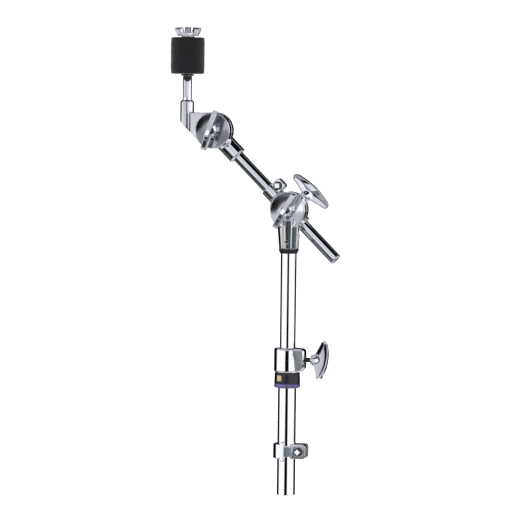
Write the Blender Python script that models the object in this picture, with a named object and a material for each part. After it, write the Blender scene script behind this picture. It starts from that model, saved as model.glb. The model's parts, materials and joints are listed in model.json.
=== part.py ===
"""Cymbal boom holder: height tube, lower tilter, sliding boom, upper tilter and cymbal post.

Metres, +Z up. The origin is the centre of the lower tube's bottom end, +Z runs up the tube,
the boom rises towards -X, and both tilters turn about axes along Y, with their wing nuts at -Y.
"""
import math

import bmesh
import bpy
from mathutils import Matrix, Vector

for old_object in list(bpy.data.objects):
    bpy.data.objects.remove(old_object, do_unlink=True)

MM = 0.001
GAP = 0.3 * MM                       # air left between pieces that touch

# ---- driving dimensions -------------------------------------------------------------------
# Telescoping tubes
LOWER_TUBE_R = 11.1 * MM             # 7/8 inch tube
UPPER_TUBE_R = 9.55 * MM             # 3/4 inch tube
TUBE_WALL = 1.2 * MM
LOWER_TUBE_TOP = 150.0 * MM
UPPER_TUBE_BOTTOM = 95.0 * MM
UPPER_TUBE_TOP = 310.5 * MM

# Height clamp on top of the lower tube
RING_BOTTOM = 129.2 * MM
SLEEVE_BOTTOM = 134.6 * MM
COLLAR_BOTTOM = 147.5 * MM
COLLAR_TOP = 176.8 * MM
COLLAR_R = 16.2 * MM
SKIRT_R = 13.2 * MM
BOSS_REACH = 22.0 * MM
BOSS_END_HALF = 7.9 * MM             # half-width of the boss at its end
BOSS_TAPER = 0.4                     # its sides spread by this much towards the collar
HEIGHT_BOLT_Z = 163.0 * MM

# Memory lock on the lower tube
MEMORY_Z = 53.0 * MM
MEMORY_HALF_TALL = 9.0 * MM
MEMORY_HALF_BAND = 6.3 * MM
MEMORY_SCREW_X = 16.6 * MM
MEMORY_EAR_REACH = 25.5 * MM

# Neck and tilters
NECK_BOTTOM = 296.0 * MM
NECK_SHOULDER = 313.5 * MM
NECK_R = 12.3 * MM
NECK_FLAT_Y = 11.1 * MM              # flat on the neck's rear, so that the boom can fold past it
LOWER_PIVOT_Z = 342.5 * MM
PIVOT_SPACING = 132.3 * MM           # between the two tilter axes, along the boom
BOOM_ANGLE = math.radians(45.0)      # from vertical, towards -X
DISC_R = 21.8 * MM
DISC_FRONT = 11.5 * MM               # front face of a tilter's front disc, measured to -Y
DISC_BACK = 1.4 * MM
REAR_DISC_DEPTH = 11.0 * MM

# Boom
BOOM_R = 7.15 * MM
BOOM_Y = 18.6 * MM                   # the boom runs behind the discs
BOOM_OFFSET = 4.0 * MM               # and this far below the line through both pivots
BOOM_LOW_END = -79.0 * MM            # along the boom, from the lower pivot
BOOM_HIGH_END = 108.0 * MM
LINER_R = 8.3 * MM
BOOM_MEMORY_AT = 32.1 * MM
BOOM_MEMORY_HALF = 7.2 * MM
CLAMP_SEAT = 22.2 * MM               # end of the clamp bolt's boss, from the boom's axis
FERRULE_R = 11.2 * MM
FERRULE_END = -39.4 * MM             # along the boom, from the upper pivot

# Wings
WING_BOLT = {"half_span": 27.5 * MM, "reach": 19.5 * MM, "hub_r": 6.4 * MM, "thick": 6.6 * MM}
WING_NUT = {"half_span": 24.5 * MM, "reach": 17.5 * MM, "hub_r": 7.2 * MM, "thick": 6.4 * MM}
HEIGHT_WING_TURN = math.radians(-38.0)
CLAMP_WING_TURN = math.radians(14.0)
LOWER_NUT_TURN = math.radians(30.5)
UPPER_NUT_TURN = math.radians(18.0)
M6_R = 3.0 * MM
M8_R = 4.0 * MM

# Cymbal post
POST_X = -33.4 * MM                  # from the upper pivot
POST_Y = -3.0 * MM
SOCKET_R = 8.3 * MM
SOCKET_TOP = 36.5 * MM
SOCKET_CORNER = 11.6 * MM
POST_R = 5.5 * MM
POST_FOOT = 15.0 * MM
POST_SHOULDER = 65.0 * MM
SEAT_TOP = 67.2 * MM
FELT_R = 20.5 * MM
FELT_HOLE_R = 6.3 * MM
FELT_HEIGHT = 21.9 * MM
SLEEVE_R = 5.9 * MM
NUT_BOTTOM = SEAT_TOP + 2 * FELT_HEIGHT + 3 * GAP
STUD_TOP = NUT_BOTTOM + 12.2 * MM

# Pins and small screws
PIN_R = 1.5 * MM
PIN_HOLE_R = 1.8 * MM
COLLAR_PIN_Z = 141.0 * MM            # holds the height collar on the lower tube
NECK_PIN_Z = 304.0 * MM              # holds the neck on the upper tube
FERRULE_SCREW_AT = -31.0 * MM        # along the boom, from the upper pivot
SOCKET_SCREW_AT = 27.0 * MM          # up the post, from the upper pivot

ROUND = 26                           # sides of a large round piece
SMALL_ROUND = 12                     # sides of a small one


# ---- frames -------------------------------------------------------------------------------
def frame(origin, z_axis, x_axis):
    """World matrix of a local frame, from its origin and the directions of its Z and X axes."""
    z = Vector(z_axis).normalized()
    x = Vector(x_axis).normalized()
    y = z.cross(x)
    matrix = Matrix((x, y, z)).transposed().to_4x4()
    matrix.translation = Vector(origin)
    return matrix


def turned(base, angle):
    """The same frame, turned about its own Z axis."""
    return base @ Matrix.Rotation(angle, 4, "Z")


ALONG = Vector((-math.sin(BOOM_ANGLE), 0.0, math.cos(BOOM_ANGLE)))     # up the boom
ACROSS = Vector((math.cos(BOOM_ANGLE), 0.0, math.sin(BOOM_ANGLE)))     # square to it, upwards
FRONT = Vector((0.0, -1.0, 0.0))
RIGHT = Vector((1.0, 0.0, 0.0))
UP = Vector((0.0, 0.0, 1.0))

LOWER_PIVOT = Vector((0.0, 0.0, LOWER_PIVOT_Z))
UPPER_PIVOT = LOWER_PIVOT + PIVOT_SPACING * ALONG
BOOM_START = LOWER_PIVOT - BOOM_OFFSET * ACROSS - BOOM_Y * FRONT
BOOM_END = BOOM_START + PIVOT_SPACING * ALONG
POST = UPPER_PIVOT + Vector((POST_X, POST_Y, 0.0))

BASE = frame((0, 0, 0), UP, RIGHT)
COLLAR_PIN = frame((0, 0, COLLAR_PIN_Z), FRONT, RIGHT)
NECK_PIN = frame((0, 0, NECK_PIN_Z), FRONT, RIGHT)
COLLAR = frame((0, 0, 0), FRONT, RIGHT)
HEIGHT_BOLT = frame((0, 0, HEIGHT_BOLT_Z), RIGHT, FRONT)
MEMORY = frame((0, 0, MEMORY_Z), UP, RIGHT)
MEMORY_SCREW = frame((MEMORY_SCREW_X, 0, MEMORY_Z), FRONT, RIGHT)
LOWER_TILTER = frame(LOWER_PIVOT, FRONT, RIGHT)
UPPER_TILTER = frame(UPPER_PIVOT, FRONT, RIGHT)
BOOM = frame(BOOM_START, ALONG, ACROSS)
FERRULE = frame(BOOM_END, ALONG, ACROSS)
BOOM_CLAMP = frame(BOOM_START, ACROSS, -FRONT)
POST_FRAME = frame(POST, UP, RIGHT)


# ---- materials ----------------------------------------------------------------------------
def make_material(name, colour, roughness, metallic):
    """A plain Principled material."""
    result = bpy.data.materials.new(name)
    result.use_nodes = True
    shader = result.node_tree.nodes["Principled BSDF"]
    shader.inputs["Base Color"].default_value = (*colour, 1.0)
    shader.inputs["Roughness"].default_value = roughness
    shader.inputs["Metallic"].default_value = metallic
    return result


CHROME = make_material("chrome", (0.82, 0.83, 0.85), 0.08, 1.0)
DARK_STEEL = make_material("dark_steel", (0.10, 0.10, 0.11), 0.35, 1.0)
BLACK_PLASTIC = make_material("black_plastic", (0.02, 0.02, 0.025), 0.35, 0.0)
PURPLE_PLASTIC = make_material("purple_plastic", (0.16, 0.10, 0.42), 0.35, 0.0)
NYLON = make_material("nylon", (0.55, 0.54, 0.50), 0.5, 0.0)
FIBRE = make_material("fibre", (0.06, 0.05, 0.05), 0.8, 0.0)
FELT = make_material("felt", (0.02, 0.02, 0.022), 0.95, 0.0)


# ---- shape helpers ------------------------------------------------------------------------
def lathe(profile, sides=ROUND):
    """Turn a closed outline of (radius, height) points about the local Z axis."""
    mesh = bmesh.new()
    ring = [mesh.verts.new((radius, 0.0, height)) for radius, height in profile]
    edges = [mesh.edges.new((ring[i - 1], ring[i])) for i in range(len(ring))]
    bmesh.ops.spin(mesh, geom=ring + edges, cent=(0, 0, 0), axis=(0, 0, 1),
                   angle=math.tau, steps=sides, use_merge=True, use_duplicate=False)
    bmesh.ops.remove_doubles(mesh, verts=mesh.verts, dist=0.00001)
    bmesh.ops.recalc_face_normals(mesh, faces=mesh.faces)
    return mesh


def prism(outline, low, high, upright=False):
    """Extrude a closed 2-D outline along Z, or along Y when it is drawn upright in X and Z."""
    mesh = bmesh.new()

    def layer(depth):
        if upright:
            return [mesh.verts.new((p[0], depth, p[1])) for p in outline]
        return [mesh.verts.new((p[0], p[1], depth)) for p in outline]

    bottom = layer(low)
    top = layer(high)
    mesh.faces.new(bottom)
    mesh.faces.new(top)
    for i in range(len(outline)):
        mesh.faces.new((bottom[i - 1], bottom[i], top[i], top[i - 1]))
    bmesh.ops.recalc_face_normals(mesh, faces=mesh.faces)
    return mesh


def spreading_prism(outline, end, end_half, taper):
    """A prism on both sides of its outline, whose half-width grows away from its end in X."""
    mesh = prism(outline, -1.0, 1.0)
    for corner in mesh.verts:
        corner.co.z *= end_half + (end - corner.co.x) * taper
    return mesh


def arc(centre, radius, start, end, steps):
    """Points along an arc, from start to end in degrees."""
    points = []
    for i in range(steps + 1):
        angle = math.radians(start + (end - start) * i / steps)
        points.append((centre[0] + radius * math.cos(angle), centre[1] + radius * math.sin(angle)))
    return points


def rod(radius, low, high, sides=SMALL_ROUND):
    """A plain cylinder along Z."""
    return prism(arc((0, 0), radius, 0, 360 - 360 / sides, sides - 1), low, high)


def block(x_range, y_range, z_range):
    """A box between two corners."""
    corners = [(x_range[0], y_range[0]), (x_range[1], y_range[0]),
               (x_range[1], y_range[1]), (x_range[0], y_range[1])]
    return prism(corners, *z_range)


def rounded_bar(outer, inner, low, high, edge):
    """Outline of a ring with its four edges chamfered."""
    return [(inner + edge, low), (outer - edge, low), (outer, low + edge), (outer, high - edge),
            (outer - edge, high), (inner + edge, high), (inner, high - edge), (inner, low + edge)]


def to_object(name, mesh, place):
    """Turn a bmesh into an object at a place."""
    data = bpy.data.meshes.new(name)
    mesh.to_mesh(data)
    mesh.free()
    made = bpy.data.objects.new(name, data)
    bpy.context.collection.objects.link(made)
    made.matrix_world = place
    return made


def piece(name, mesh, place, finish):
    """One real sub-part, in a node of its own."""
    made = to_object(name, mesh, place)
    made.data.materials.append(finish)
    made.data.shade_smooth()
    made.data.set_sharp_from_angle(angle=math.radians(30))
    return made


def combine(target, mesh, place, operation):
    """Add a shape to a piece (UNION) or cut it away (DIFFERENCE), with a hidden helper."""
    step = f"{target.name}_{operation.lower()}_{len(target.modifiers)}"
    helper = to_object(step, mesh, place)
    helper.hide_render = True
    helper.display_type = "WIRE"
    modifier = target.modifiers.new(step, "BOOLEAN")
    modifier.operation = operation
    modifier.object = helper


def add(target, mesh, place):
    """Join a shape to a piece."""
    combine(target, mesh, place, "UNION")


def cut(target, mesh, place):
    """Cut a shape out of a piece."""
    combine(target, mesh, place, "DIFFERENCE")


# ---- repeated pieces ----------------------------------------------------------------------
def blade_outline(half_span, reach, hub_r):
    """Half-moon outline of a pair of wings: a gently bowed outer edge and two round tips."""
    bow = 0.22 * reach
    tip_r = 0.14 * half_span
    tip = (half_span - tip_r, reach - bow - 0.9 * tip_r)
    root = (hub_r, 0.17 * reach)
    outer = []
    for i in range(9):
        across = (2.0 * i / 8 - 1.0) * tip[0]
        outer.append((-across, reach - bow * (across / half_span) ** 2))
    left_tip = arc((-tip[0], tip[1]), tip_r, 120, 255, 4)
    right_tip = arc(tip, tip_r, -75, 60, 4)
    return outer + left_tip + [(-root[0], root[1]), root] + right_tip


def wing(name, place, size, bore_r, bore_depth):
    """Cast wing head: hub and two flat wings, with a blind hole for its thread."""
    hub_top = 0.62 * size["reach"]
    hub = [(0.0, 0.0), (size["hub_r"] - 0.8 * MM, 0.0), (size["hub_r"], 0.8 * MM),
           (size["hub_r"], 0.4 * size["reach"]), (0.6 * size["hub_r"], hub_top), (0.0, hub_top)]
    head = piece(name, lathe(hub, SMALL_ROUND), place, CHROME)
    outline = blade_outline(size["half_span"], size["reach"], size["hub_r"] - 1.5 * MM)
    half_thick = size["thick"] / 2
    add(head, prism(outline, -half_thick, half_thick, upright=True), place)
    cut(head, rod(bore_r, -1 * MM, bore_depth), place)
    return head


def key_screw(name, place, shank_low, head_low):
    """Drum-key screw: round shank, round flange and square head, drawn along Z."""
    screw = piece(name, rod(2.4 * MM, shank_low, head_low + 0.6 * MM), place, CHROME)
    add(screw, rod(5.2 * MM, head_low, head_low + 1.4 * MM), place)
    half = 2.9 * MM
    add(screw, block((-half, half), (-half, half), (head_low + 0.9 * MM, head_low + 5.2 * MM)),
        turned(place, math.radians(45)))
    return screw


def square_nut(name, place, low, high):
    """Square nut with a round hole, drawn along Z."""
    half = 4.0 * MM
    nut = piece(name, block((-half, half), (-half, half), (low, high)), place, DARK_STEEL)
    cut(nut, rod(2.7 * MM, low - 1 * MM, high + 1 * MM), place)
    return nut


def hex_outline(across_flats):
    """Six corners of a hexagon."""
    return arc((0, 0), across_flats / math.sqrt(3), 0, 300, 5)


def pivot_stud(name, place):
    """M8 stud with a thin hexagonal flange that is held in the rear disc."""
    stud = piece(name, rod(M8_R, -2.5 * MM, 24.0 * MM), place, DARK_STEEL)
    add(stud, prism(hex_outline(13.0 * MM), -4.3 * MM, -0.3 * MM), place)
    return stud


def front_disc_outline():
    """Turned outline of a tilter's front disc: raised rim, shallow dish and raised seat."""
    bore = M8_R + GAP
    return [(bore, DISC_BACK), (DISC_R - 0.5 * MM, DISC_BACK), (DISC_R, DISC_BACK + 0.5 * MM),
            (DISC_R, DISC_FRONT - 0.8 * MM), (DISC_R - 0.8 * MM, DISC_FRONT),
            (DISC_R - 2.2 * MM, DISC_FRONT), (DISC_R - 3.4 * MM, DISC_FRONT - 1.8 * MM),
            (12.0 * MM, DISC_FRONT - 2.8 * MM), (8.6 * MM, DISC_FRONT - 2.4 * MM),
            (8.2 * MM, DISC_FRONT - 0.3 * MM), (bore, DISC_FRONT - 0.3 * MM)]


def rear_disc_outline():
    """Turned outline of a tilter's rear disc."""
    return [(0.0, 0.0), (DISC_R - 0.5 * MM, 0.0), (DISC_R, -0.5 * MM),
            (DISC_R, 1.5 * MM - REAR_DISC_DEPTH), (DISC_R - 1.5 * MM, -REAR_DISC_DEPTH),
            (0.0, -REAR_DISC_DEPTH)]


def friction_washer(name, place):
    """Thin fibre washer between the two discs of a tilter."""
    return piece(name, lathe([(5.0 * MM, 0.3 * MM), (19.5 * MM, 0.3 * MM),
                              (19.5 * MM, 1.1 * MM), (5.0 * MM, 1.1 * MM)]), place, FIBRE)


def nut_washer(name, place):
    """Steel washer under a wing nut."""
    low = DISC_FRONT
    return piece(name, lathe([(4.4 * MM, low), (7.6 * MM, low), (7.6 * MM, low + 1.2 * MM),
                              (4.4 * MM, low + 1.2 * MM)], SMALL_ROUND), place, CHROME)


# ---- lower tube and height clamp ----------------------------------------------------------
def build_lower_tube():
    """Bare lower tube, held by a stand or a clamp."""
    outline = rounded_bar(LOWER_TUBE_R, LOWER_TUBE_R - TUBE_WALL, 0.0, LOWER_TUBE_TOP, 0.2 * MM)
    tube = piece("lower_tube", lathe(outline), BASE, CHROME)
    cut(tube, rod(PIN_HOLE_R, -16 * MM, -8 * MM), COLLAR_PIN)
    return tube


def build_height_clamp():
    """Cast collar on the lower tube, its plastic trim, its liner and its pressure shoe."""
    grip_r = LOWER_TUBE_R + GAP
    seat_r = 13.3 * MM
    outline = [(0.0, RING_BOTTOM), (SKIRT_R, RING_BOTTOM), (SKIRT_R, COLLAR_BOTTOM),
               (COLLAR_R - 1.4 * MM, COLLAR_BOTTOM), (COLLAR_R, COLLAR_BOTTOM + 2 * MM),
               (COLLAR_R, COLLAR_TOP - 2 * MM), (COLLAR_R - 0.6 * MM, COLLAR_TOP - 0.6 * MM),
               (COLLAR_R - 2 * MM, COLLAR_TOP), (0.0, COLLAR_TOP)]
    collar = piece("height_collar", lathe(outline), BASE, CHROME)
    boss_start = 8.6 * MM
    boss_low = COLLAR_BOTTOM + 1.0 * MM
    boss_high = COLLAR_TOP - 0.4 * MM
    corner = 4.5 * MM
    boss = [(boss_start, boss_low), (BOSS_REACH - corner, boss_low),
            (BOSS_REACH, boss_low + corner)]
    boss += arc((BOSS_REACH - corner, boss_high - corner), corner, 0, 90, 5)
    boss += [(boss_start, boss_high)]
    add(collar, spreading_prism(boss, BOSS_REACH, BOSS_END_HALF, BOSS_TAPER), COLLAR)
    bore = [(0.0, RING_BOTTOM - 5 * MM), (grip_r, RING_BOTTOM - 5 * MM),
            (grip_r, LOWER_TUBE_TOP + GAP), (seat_r, LOWER_TUBE_TOP + GAP),
            (seat_r, COLLAR_TOP + 5 * MM), (0.0, COLLAR_TOP + 5 * MM)]
    cut(collar, lathe(bore), BASE)
    cut(collar, rod(M6_R + 0.4 * MM, 10 * MM, 25 * MM), HEIGHT_BOLT)
    cut(collar, rod(4.3 * MM, 10 * MM, 16.7 * MM), HEIGHT_BOLT)
    cut(collar, rod(PIN_HOLE_R, -16 * MM, -8 * MM), COLLAR_PIN)

    piece("collar_pin", rod(PIN_R, -12.9 * MM, -10.2 * MM), COLLAR_PIN, DARK_STEEL)
    trim_r = SKIRT_R + GAP
    piece("height_collar_sleeve", lathe([(trim_r, SLEEVE_BOTTOM + GAP),
                                         (15.7 * MM, SLEEVE_BOTTOM + GAP),
                                         (15.2 * MM, COLLAR_BOTTOM - GAP),
                                         (trim_r, COLLAR_BOTTOM - GAP)]), BASE, BLACK_PLASTIC)
    piece("height_collar_ring", lathe(rounded_bar(15.85 * MM, trim_r, RING_BOTTOM,
                                                  SLEEVE_BOTTOM, 0.9 * MM)), BASE, PURPLE_PLASTIC)
    bush_low = LOWER_TUBE_TOP + 2 * GAP
    bush = piece("height_bush", lathe([(UPPER_TUBE_R + GAP, bush_low), (13.0 * MM, bush_low),
                                       (13.0 * MM, COLLAR_TOP - 1.2 * MM),
                                       (UPPER_TUBE_R + GAP, COLLAR_TOP - 1.2 * MM)]),
                 BASE, NYLON)
    cut(bush, block((-20 * MM, 0.0), (-1 * MM, 1 * MM), (140 * MM, 180 * MM)), BASE)
    piece("height_shoe", rod(4.0 * MM, 13.35 * MM, 16.3 * MM), HEIGHT_BOLT, DARK_STEEL)


def build_height_bolt():
    """Wing bolt that locks the upper tube's height."""
    hub_at = BOSS_REACH + 5.0 * MM
    piece("height_stem", rod(M6_R, 16.7 * MM, hub_at + 7 * MM), HEIGHT_BOLT, DARK_STEEL)
    place = turned(HEIGHT_BOLT, HEIGHT_WING_TURN + math.radians(90))
    wing("height_wing", place @ Matrix.Translation((0, 0, hub_at)), WING_BOLT,
         M6_R + GAP, 7.3 * MM)


def build_memory_lock():
    """Split collar on the lower tube with a drum-key screw through its two ears."""
    clamp = piece("memory_clamp", rod(14.4 * MM, -MEMORY_HALF_BAND, MEMORY_HALF_BAND, ROUND),
                  MEMORY, CHROME)
    left_half = arc((0, 0), 16.0 * MM, 88, 272, 20)
    add(clamp, prism(left_half, -MEMORY_HALF_TALL, MEMORY_HALF_TALL), MEMORY)
    ear_round = 4.0 * MM
    ears = [(8 * MM, -MEMORY_HALF_TALL)]
    ears += arc((MEMORY_EAR_REACH - ear_round, ear_round - MEMORY_HALF_TALL), ear_round,
                -90, 0, 4)
    ears += arc((MEMORY_EAR_REACH - ear_round, MEMORY_HALF_TALL - ear_round), ear_round,
                0, 90, 4)
    ears += [(8 * MM, MEMORY_HALF_TALL)]
    add(clamp, prism(ears, -10 * MM, 10 * MM, upright=True), MEMORY)
    add(clamp, block((-4 * MM, 0.6 * MM), (-17 * MM, -12 * MM), (-11.5 * MM, 11.5 * MM)), MEMORY)
    cut(clamp, rod(LOWER_TUBE_R + GAP, -20 * MM, 20 * MM, ROUND), MEMORY)
    cut(clamp, block((0.0, 30 * MM), (-1.2 * MM, 1.2 * MM), (-20 * MM, 20 * MM)), MEMORY)
    cut(clamp, rod(2.8 * MM, -12 * MM, 12 * MM), MEMORY_SCREW)
    pocket = 4.3 * MM
    cut(clamp, block((-pocket, pocket), (-pocket, pocket), (-12 * MM, -5.2 * MM)), MEMORY_SCREW)
    square_nut("memory_nut", MEMORY_SCREW, -9.5 * MM, -5.5 * MM)
    key_screw("memory_screw", MEMORY_SCREW, -9.3 * MM, 10.3 * MM)


# ---- upper tube, neck and lower tilter ----------------------------------------------------
def rear_of_neck():
    """The space behind the neck's flat, which the folded boom swings through."""
    return block((-30 * MM, 30 * MM), (NECK_FLAT_Y, 40 * MM), (280 * MM, 420 * MM))


def build_upper_tube():
    """Upper tube, the plastic guide in its lower end, and the trim ring under the neck."""
    outline = rounded_bar(UPPER_TUBE_R, UPPER_TUBE_R - TUBE_WALL, UPPER_TUBE_BOTTOM,
                          UPPER_TUBE_TOP, 0.2 * MM)
    tube = piece("upper_tube", lathe(outline), BASE, CHROME)
    cut(tube, rod(PIN_HOLE_R, 7 * MM, 11 * MM), NECK_PIN)
    piece("neck_pin", rod(PIN_R, 8.6 * MM, 12.2 * MM), NECK_PIN, DARK_STEEL)
    spigot = UPPER_TUBE_R - TUBE_WALL - GAP
    guide_r = LOWER_TUBE_R - TUBE_WALL - GAP
    low = UPPER_TUBE_BOTTOM - 7 * MM
    step = UPPER_TUBE_BOTTOM - GAP
    piece("guide_bush", lathe([(6 * MM, low), (guide_r - 0.6 * MM, low),
                               (guide_r, low + 0.8 * MM), (guide_r, step), (spigot, step),
                               (spigot, step + 9 * MM), (6 * MM, step + 9 * MM)]), BASE, NYLON)
    ring_low = NECK_BOTTOM - 5.8 * MM
    ring = piece("neck_ring", lathe([(UPPER_TUBE_R + GAP, ring_low), (10.6 * MM, ring_low),
                                     (12.2 * MM, NECK_BOTTOM - 1.4 * MM),
                                     (12.2 * MM, NECK_BOTTOM - GAP),
                                     (UPPER_TUBE_R + GAP, NECK_BOTTOM - GAP)]),
                 BASE, BLACK_PLASTIC)
    cut(ring, rear_of_neck(), BASE)


def build_neck():
    """Neck casting: a socket for the upper tube that grows into the lower tilter's front disc."""
    crown = NECK_BOTTOM + 36 * MM
    column = [(0.0, NECK_BOTTOM), (NECK_R, NECK_BOTTOM), (NECK_R, crown),
              (NECK_R - 2 * MM, crown + 3 * MM), (0.0, crown + 3 * MM)]
    neck = piece("neck_casting", lathe(column), BASE, CHROME)
    cut(neck, block((-30 * MM, 30 * MM), (-DISC_BACK, 40 * MM), (NECK_SHOULDER, 420 * MM)), BASE)
    add(neck, lathe(front_disc_outline()), LOWER_TILTER)
    cut(neck, rear_of_neck(), BASE)
    cut(neck, rod(UPPER_TUBE_R + GAP, 280 * MM, UPPER_TUBE_TOP + GAP, ROUND), BASE)
    cut(neck, rod(PIN_HOLE_R, 7 * MM, 16 * MM), NECK_PIN)
    friction_washer("lower_friction_washer", LOWER_TILTER)
    nut_washer("lower_nut_washer", LOWER_TILTER)
    wing("lower_wing_nut", turned(LOWER_TILTER, math.radians(90) - LOWER_NUT_TURN)
         @ Matrix.Translation((0, 0, DISC_FRONT + 1.5 * MM)), WING_NUT, M8_R + GAP, 11.4 * MM)


def build_boom_holder():
    """Lower tilter's rear disc with the cross tube that the boom slides through."""
    holder = piece("boom_holder", lathe(rear_disc_outline()), LOWER_TILTER, CHROME)
    add(holder, rod(10.8 * MM, -22 * MM, 24.4 * MM, ROUND), BOOM)
    add(holder, rod(8.2 * MM, 0.0, CLAMP_SEAT, ROUND), BOOM_CLAMP)
    cut(holder, rod(LINER_R + GAP, -40 * MM, 40 * MM, ROUND), BOOM)
    cut(holder, prism(hex_outline(13.6 * MM), -4.6 * MM, 1 * MM), LOWER_TILTER)
    cut(holder, rod(M6_R + 0.4 * MM, 5 * MM, 30 * MM), BOOM_CLAMP)
    cut(holder, rod(4.3 * MM, 5 * MM, 12.1 * MM), BOOM_CLAMP)
    pivot_stud("lower_stud", LOWER_TILTER)
    piece("boom_clamp_shoe", rod(4.0 * MM, LINER_R + 0.4 * MM, 11.5 * MM), BOOM_CLAMP, DARK_STEEL)
    liner = piece("boom_liner", lathe([(BOOM_R + GAP, -21.5 * MM), (LINER_R, -21.5 * MM),
                                       (LINER_R, 24.0 * MM), (BOOM_R + GAP, 24.0 * MM)]),
                  BOOM, NYLON)
    cut(liner, block((-12 * MM, 0.0), (-0.8 * MM, 0.8 * MM), (-30 * MM, 30 * MM)), BOOM)
    hub_at = CLAMP_SEAT + 1.2 * MM
    piece("boom_clamp_stem", rod(M6_R, 12.1 * MM, hub_at + 7 * MM), BOOM_CLAMP, DARK_STEEL)
    wing("boom_clamp_wing", turned(BOOM_CLAMP, math.radians(90) + CLAMP_WING_TURN)
         @ Matrix.Translation((0, 0, hub_at)), WING_BOLT, M6_R + GAP, 7.3 * MM)


# ---- boom and upper tilter ----------------------------------------------------------------
def build_boom():
    """Boom tube, its end plug and its memory lock."""
    inner = BOOM_R - TUBE_WALL
    piece("boom_rod", lathe(rounded_bar(BOOM_R, inner, BOOM_LOW_END, BOOM_HIGH_END, 0.2 * MM)),
          BOOM, CHROME)
    plug_top = BOOM_LOW_END - GAP
    plug = [(0.0, plug_top - 2.4 * MM), (BOOM_R - 2.2 * MM, plug_top - 2.4 * MM),
            (BOOM_R - 0.6 * MM, plug_top - 1.4 * MM), (BOOM_R, plug_top),
            (inner - GAP, plug_top), (inner - GAP, plug_top + 7 * MM), (0.0, plug_top + 7 * MM)]
    piece("boom_end_plug", lathe(plug), BOOM, CHROME)

    lock = BOOM @ Matrix.Translation((0, 0, BOOM_MEMORY_AT))
    clamp = piece("boom_memory_clamp", rod(9.85 * MM, -BOOM_MEMORY_HALF, BOOM_MEMORY_HALF, ROUND),
                  lock, CHROME)
    ear_round = 3.0 * MM
    reach = 19.0 * MM
    half = 6.9 * MM
    ears = [(5 * MM, -half)]
    ears += arc((reach - ear_round, ear_round - half), ear_round, -90, 0, 4)
    ears += arc((reach - ear_round, half - ear_round), ear_round, 0, 90, 4)
    ears += [(5 * MM, half)]
    add(clamp, prism(ears, -7 * MM, 7 * MM, upright=True), lock)
    cut(clamp, rod(BOOM_R + GAP, -20 * MM, 20 * MM, ROUND), lock)
    cut(clamp, block((0.0, 30 * MM), (-0.9 * MM, 0.9 * MM), (-20 * MM, 20 * MM)), lock)
    screw = frame(lock.translation + 11.9 * MM * ACROSS, FRONT, ACROSS)
    cut(clamp, rod(2.8 * MM, -9 * MM, 9 * MM), screw)
    pocket = 4.3 * MM
    cut(clamp, block((-pocket, pocket), (-pocket, pocket), (-9 * MM, -3.2 * MM)), screw)
    square_nut("boom_memory_nut", screw, -6.6 * MM, -3.5 * MM)
    key_screw("boom_memory_screw", screw, -6.4 * MM, 7.3 * MM)


def build_upper_holder():
    """Upper tilter's rear disc with the ferrule that takes the boom's upper end."""
    holder = piece("upper_holder", lathe(rear_disc_outline()), UPPER_TILTER, CHROME)
    ferrule = [(0.0, FERRULE_END), (FERRULE_R - 1 * MM, FERRULE_END),
               (FERRULE_R, FERRULE_END + 1 * MM), (FERRULE_R, 4 * MM), (7 * MM, 11 * MM),
               (0.0, 11 * MM)]
    add(holder, lathe(ferrule), turned(FERRULE, math.radians(4.5)))
    cut(holder, rod(BOOM_R + GAP, -60 * MM, BOOM_HIGH_END - PIVOT_SPACING + GAP, ROUND), FERRULE)
    cut(holder, prism(hex_outline(13.6 * MM), -4.6 * MM, 1 * MM), UPPER_TILTER)
    screw = frame(BOOM_END + FERRULE_SCREW_AT * ALONG, -FRONT, RIGHT)
    cut(holder, rod(2.8 * MM, 5 * MM, 15 * MM), screw)
    piece("ferrule_screw", rod(2.4 * MM, BOOM_R + GAP, 11.0 * MM), screw, DARK_STEEL)
    pivot_stud("upper_stud", UPPER_TILTER)
    wing("upper_wing_nut", turned(UPPER_TILTER, math.radians(90) - UPPER_NUT_TURN)
         @ Matrix.Translation((0, 0, DISC_FRONT + 1.5 * MM)), WING_NUT, M8_R + GAP, 11.4 * MM)
    nut_washer("upper_nut_washer", UPPER_TILTER)


def build_cymbal_arm():
    """Upper tilter's front disc, whose flat web carries the socket of the cymbal post."""
    left = POST_X - SOCKET_R
    web_top = DISC_R - 0.4 * MM
    web_foot = -(DISC_R - 0.6 * MM) / math.sqrt(2)
    web = [(0.0, web_top), (POST_X, web_top), (POST_X, SOCKET_CORNER - SOCKET_R),
           (web_foot, web_foot), (0.0, 0.0)]
    arm = piece("cymbal_arm", prism(web, DISC_BACK, DISC_FRONT - 1.6 * MM), UPPER_TILTER, CHROME)
    socket = [(0.0, -10 * MM), (SOCKET_R, -10 * MM), (SOCKET_R, SOCKET_TOP - 2.6 * MM),
              (POST_R + 0.6 * MM, SOCKET_TOP), (0.0, SOCKET_TOP)]
    add(arm, lathe(socket), POST_FRAME)
    slope = frame(UPPER_PIVOT + Vector((left, 0, SOCKET_CORNER)), FRONT, (1, 0, -1))
    cut(arm, block((-30 * MM, 60 * MM), (-60 * MM, 0.0), (-30 * MM, 30 * MM)), slope)
    cut(arm, rod(DISC_R - 2.8 * MM, DISC_BACK - 5 * MM, 40 * MM), UPPER_TILTER)
    add(arm, lathe(front_disc_outline()), UPPER_TILTER)
    cut(arm, rod(POST_R + GAP, POST_FOOT - GAP, 60 * MM), POST_FRAME)
    screw = frame(POST + SOCKET_SCREW_AT * UP, -FRONT, RIGHT)
    cut(arm, rod(2.4 * MM, 3 * MM, 12 * MM), screw)
    piece("socket_screw", rod(2.0 * MM, POST_R + GAP, 8.1 * MM), screw, DARK_STEEL)
    friction_washer("upper_friction_washer", UPPER_TILTER)


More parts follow.
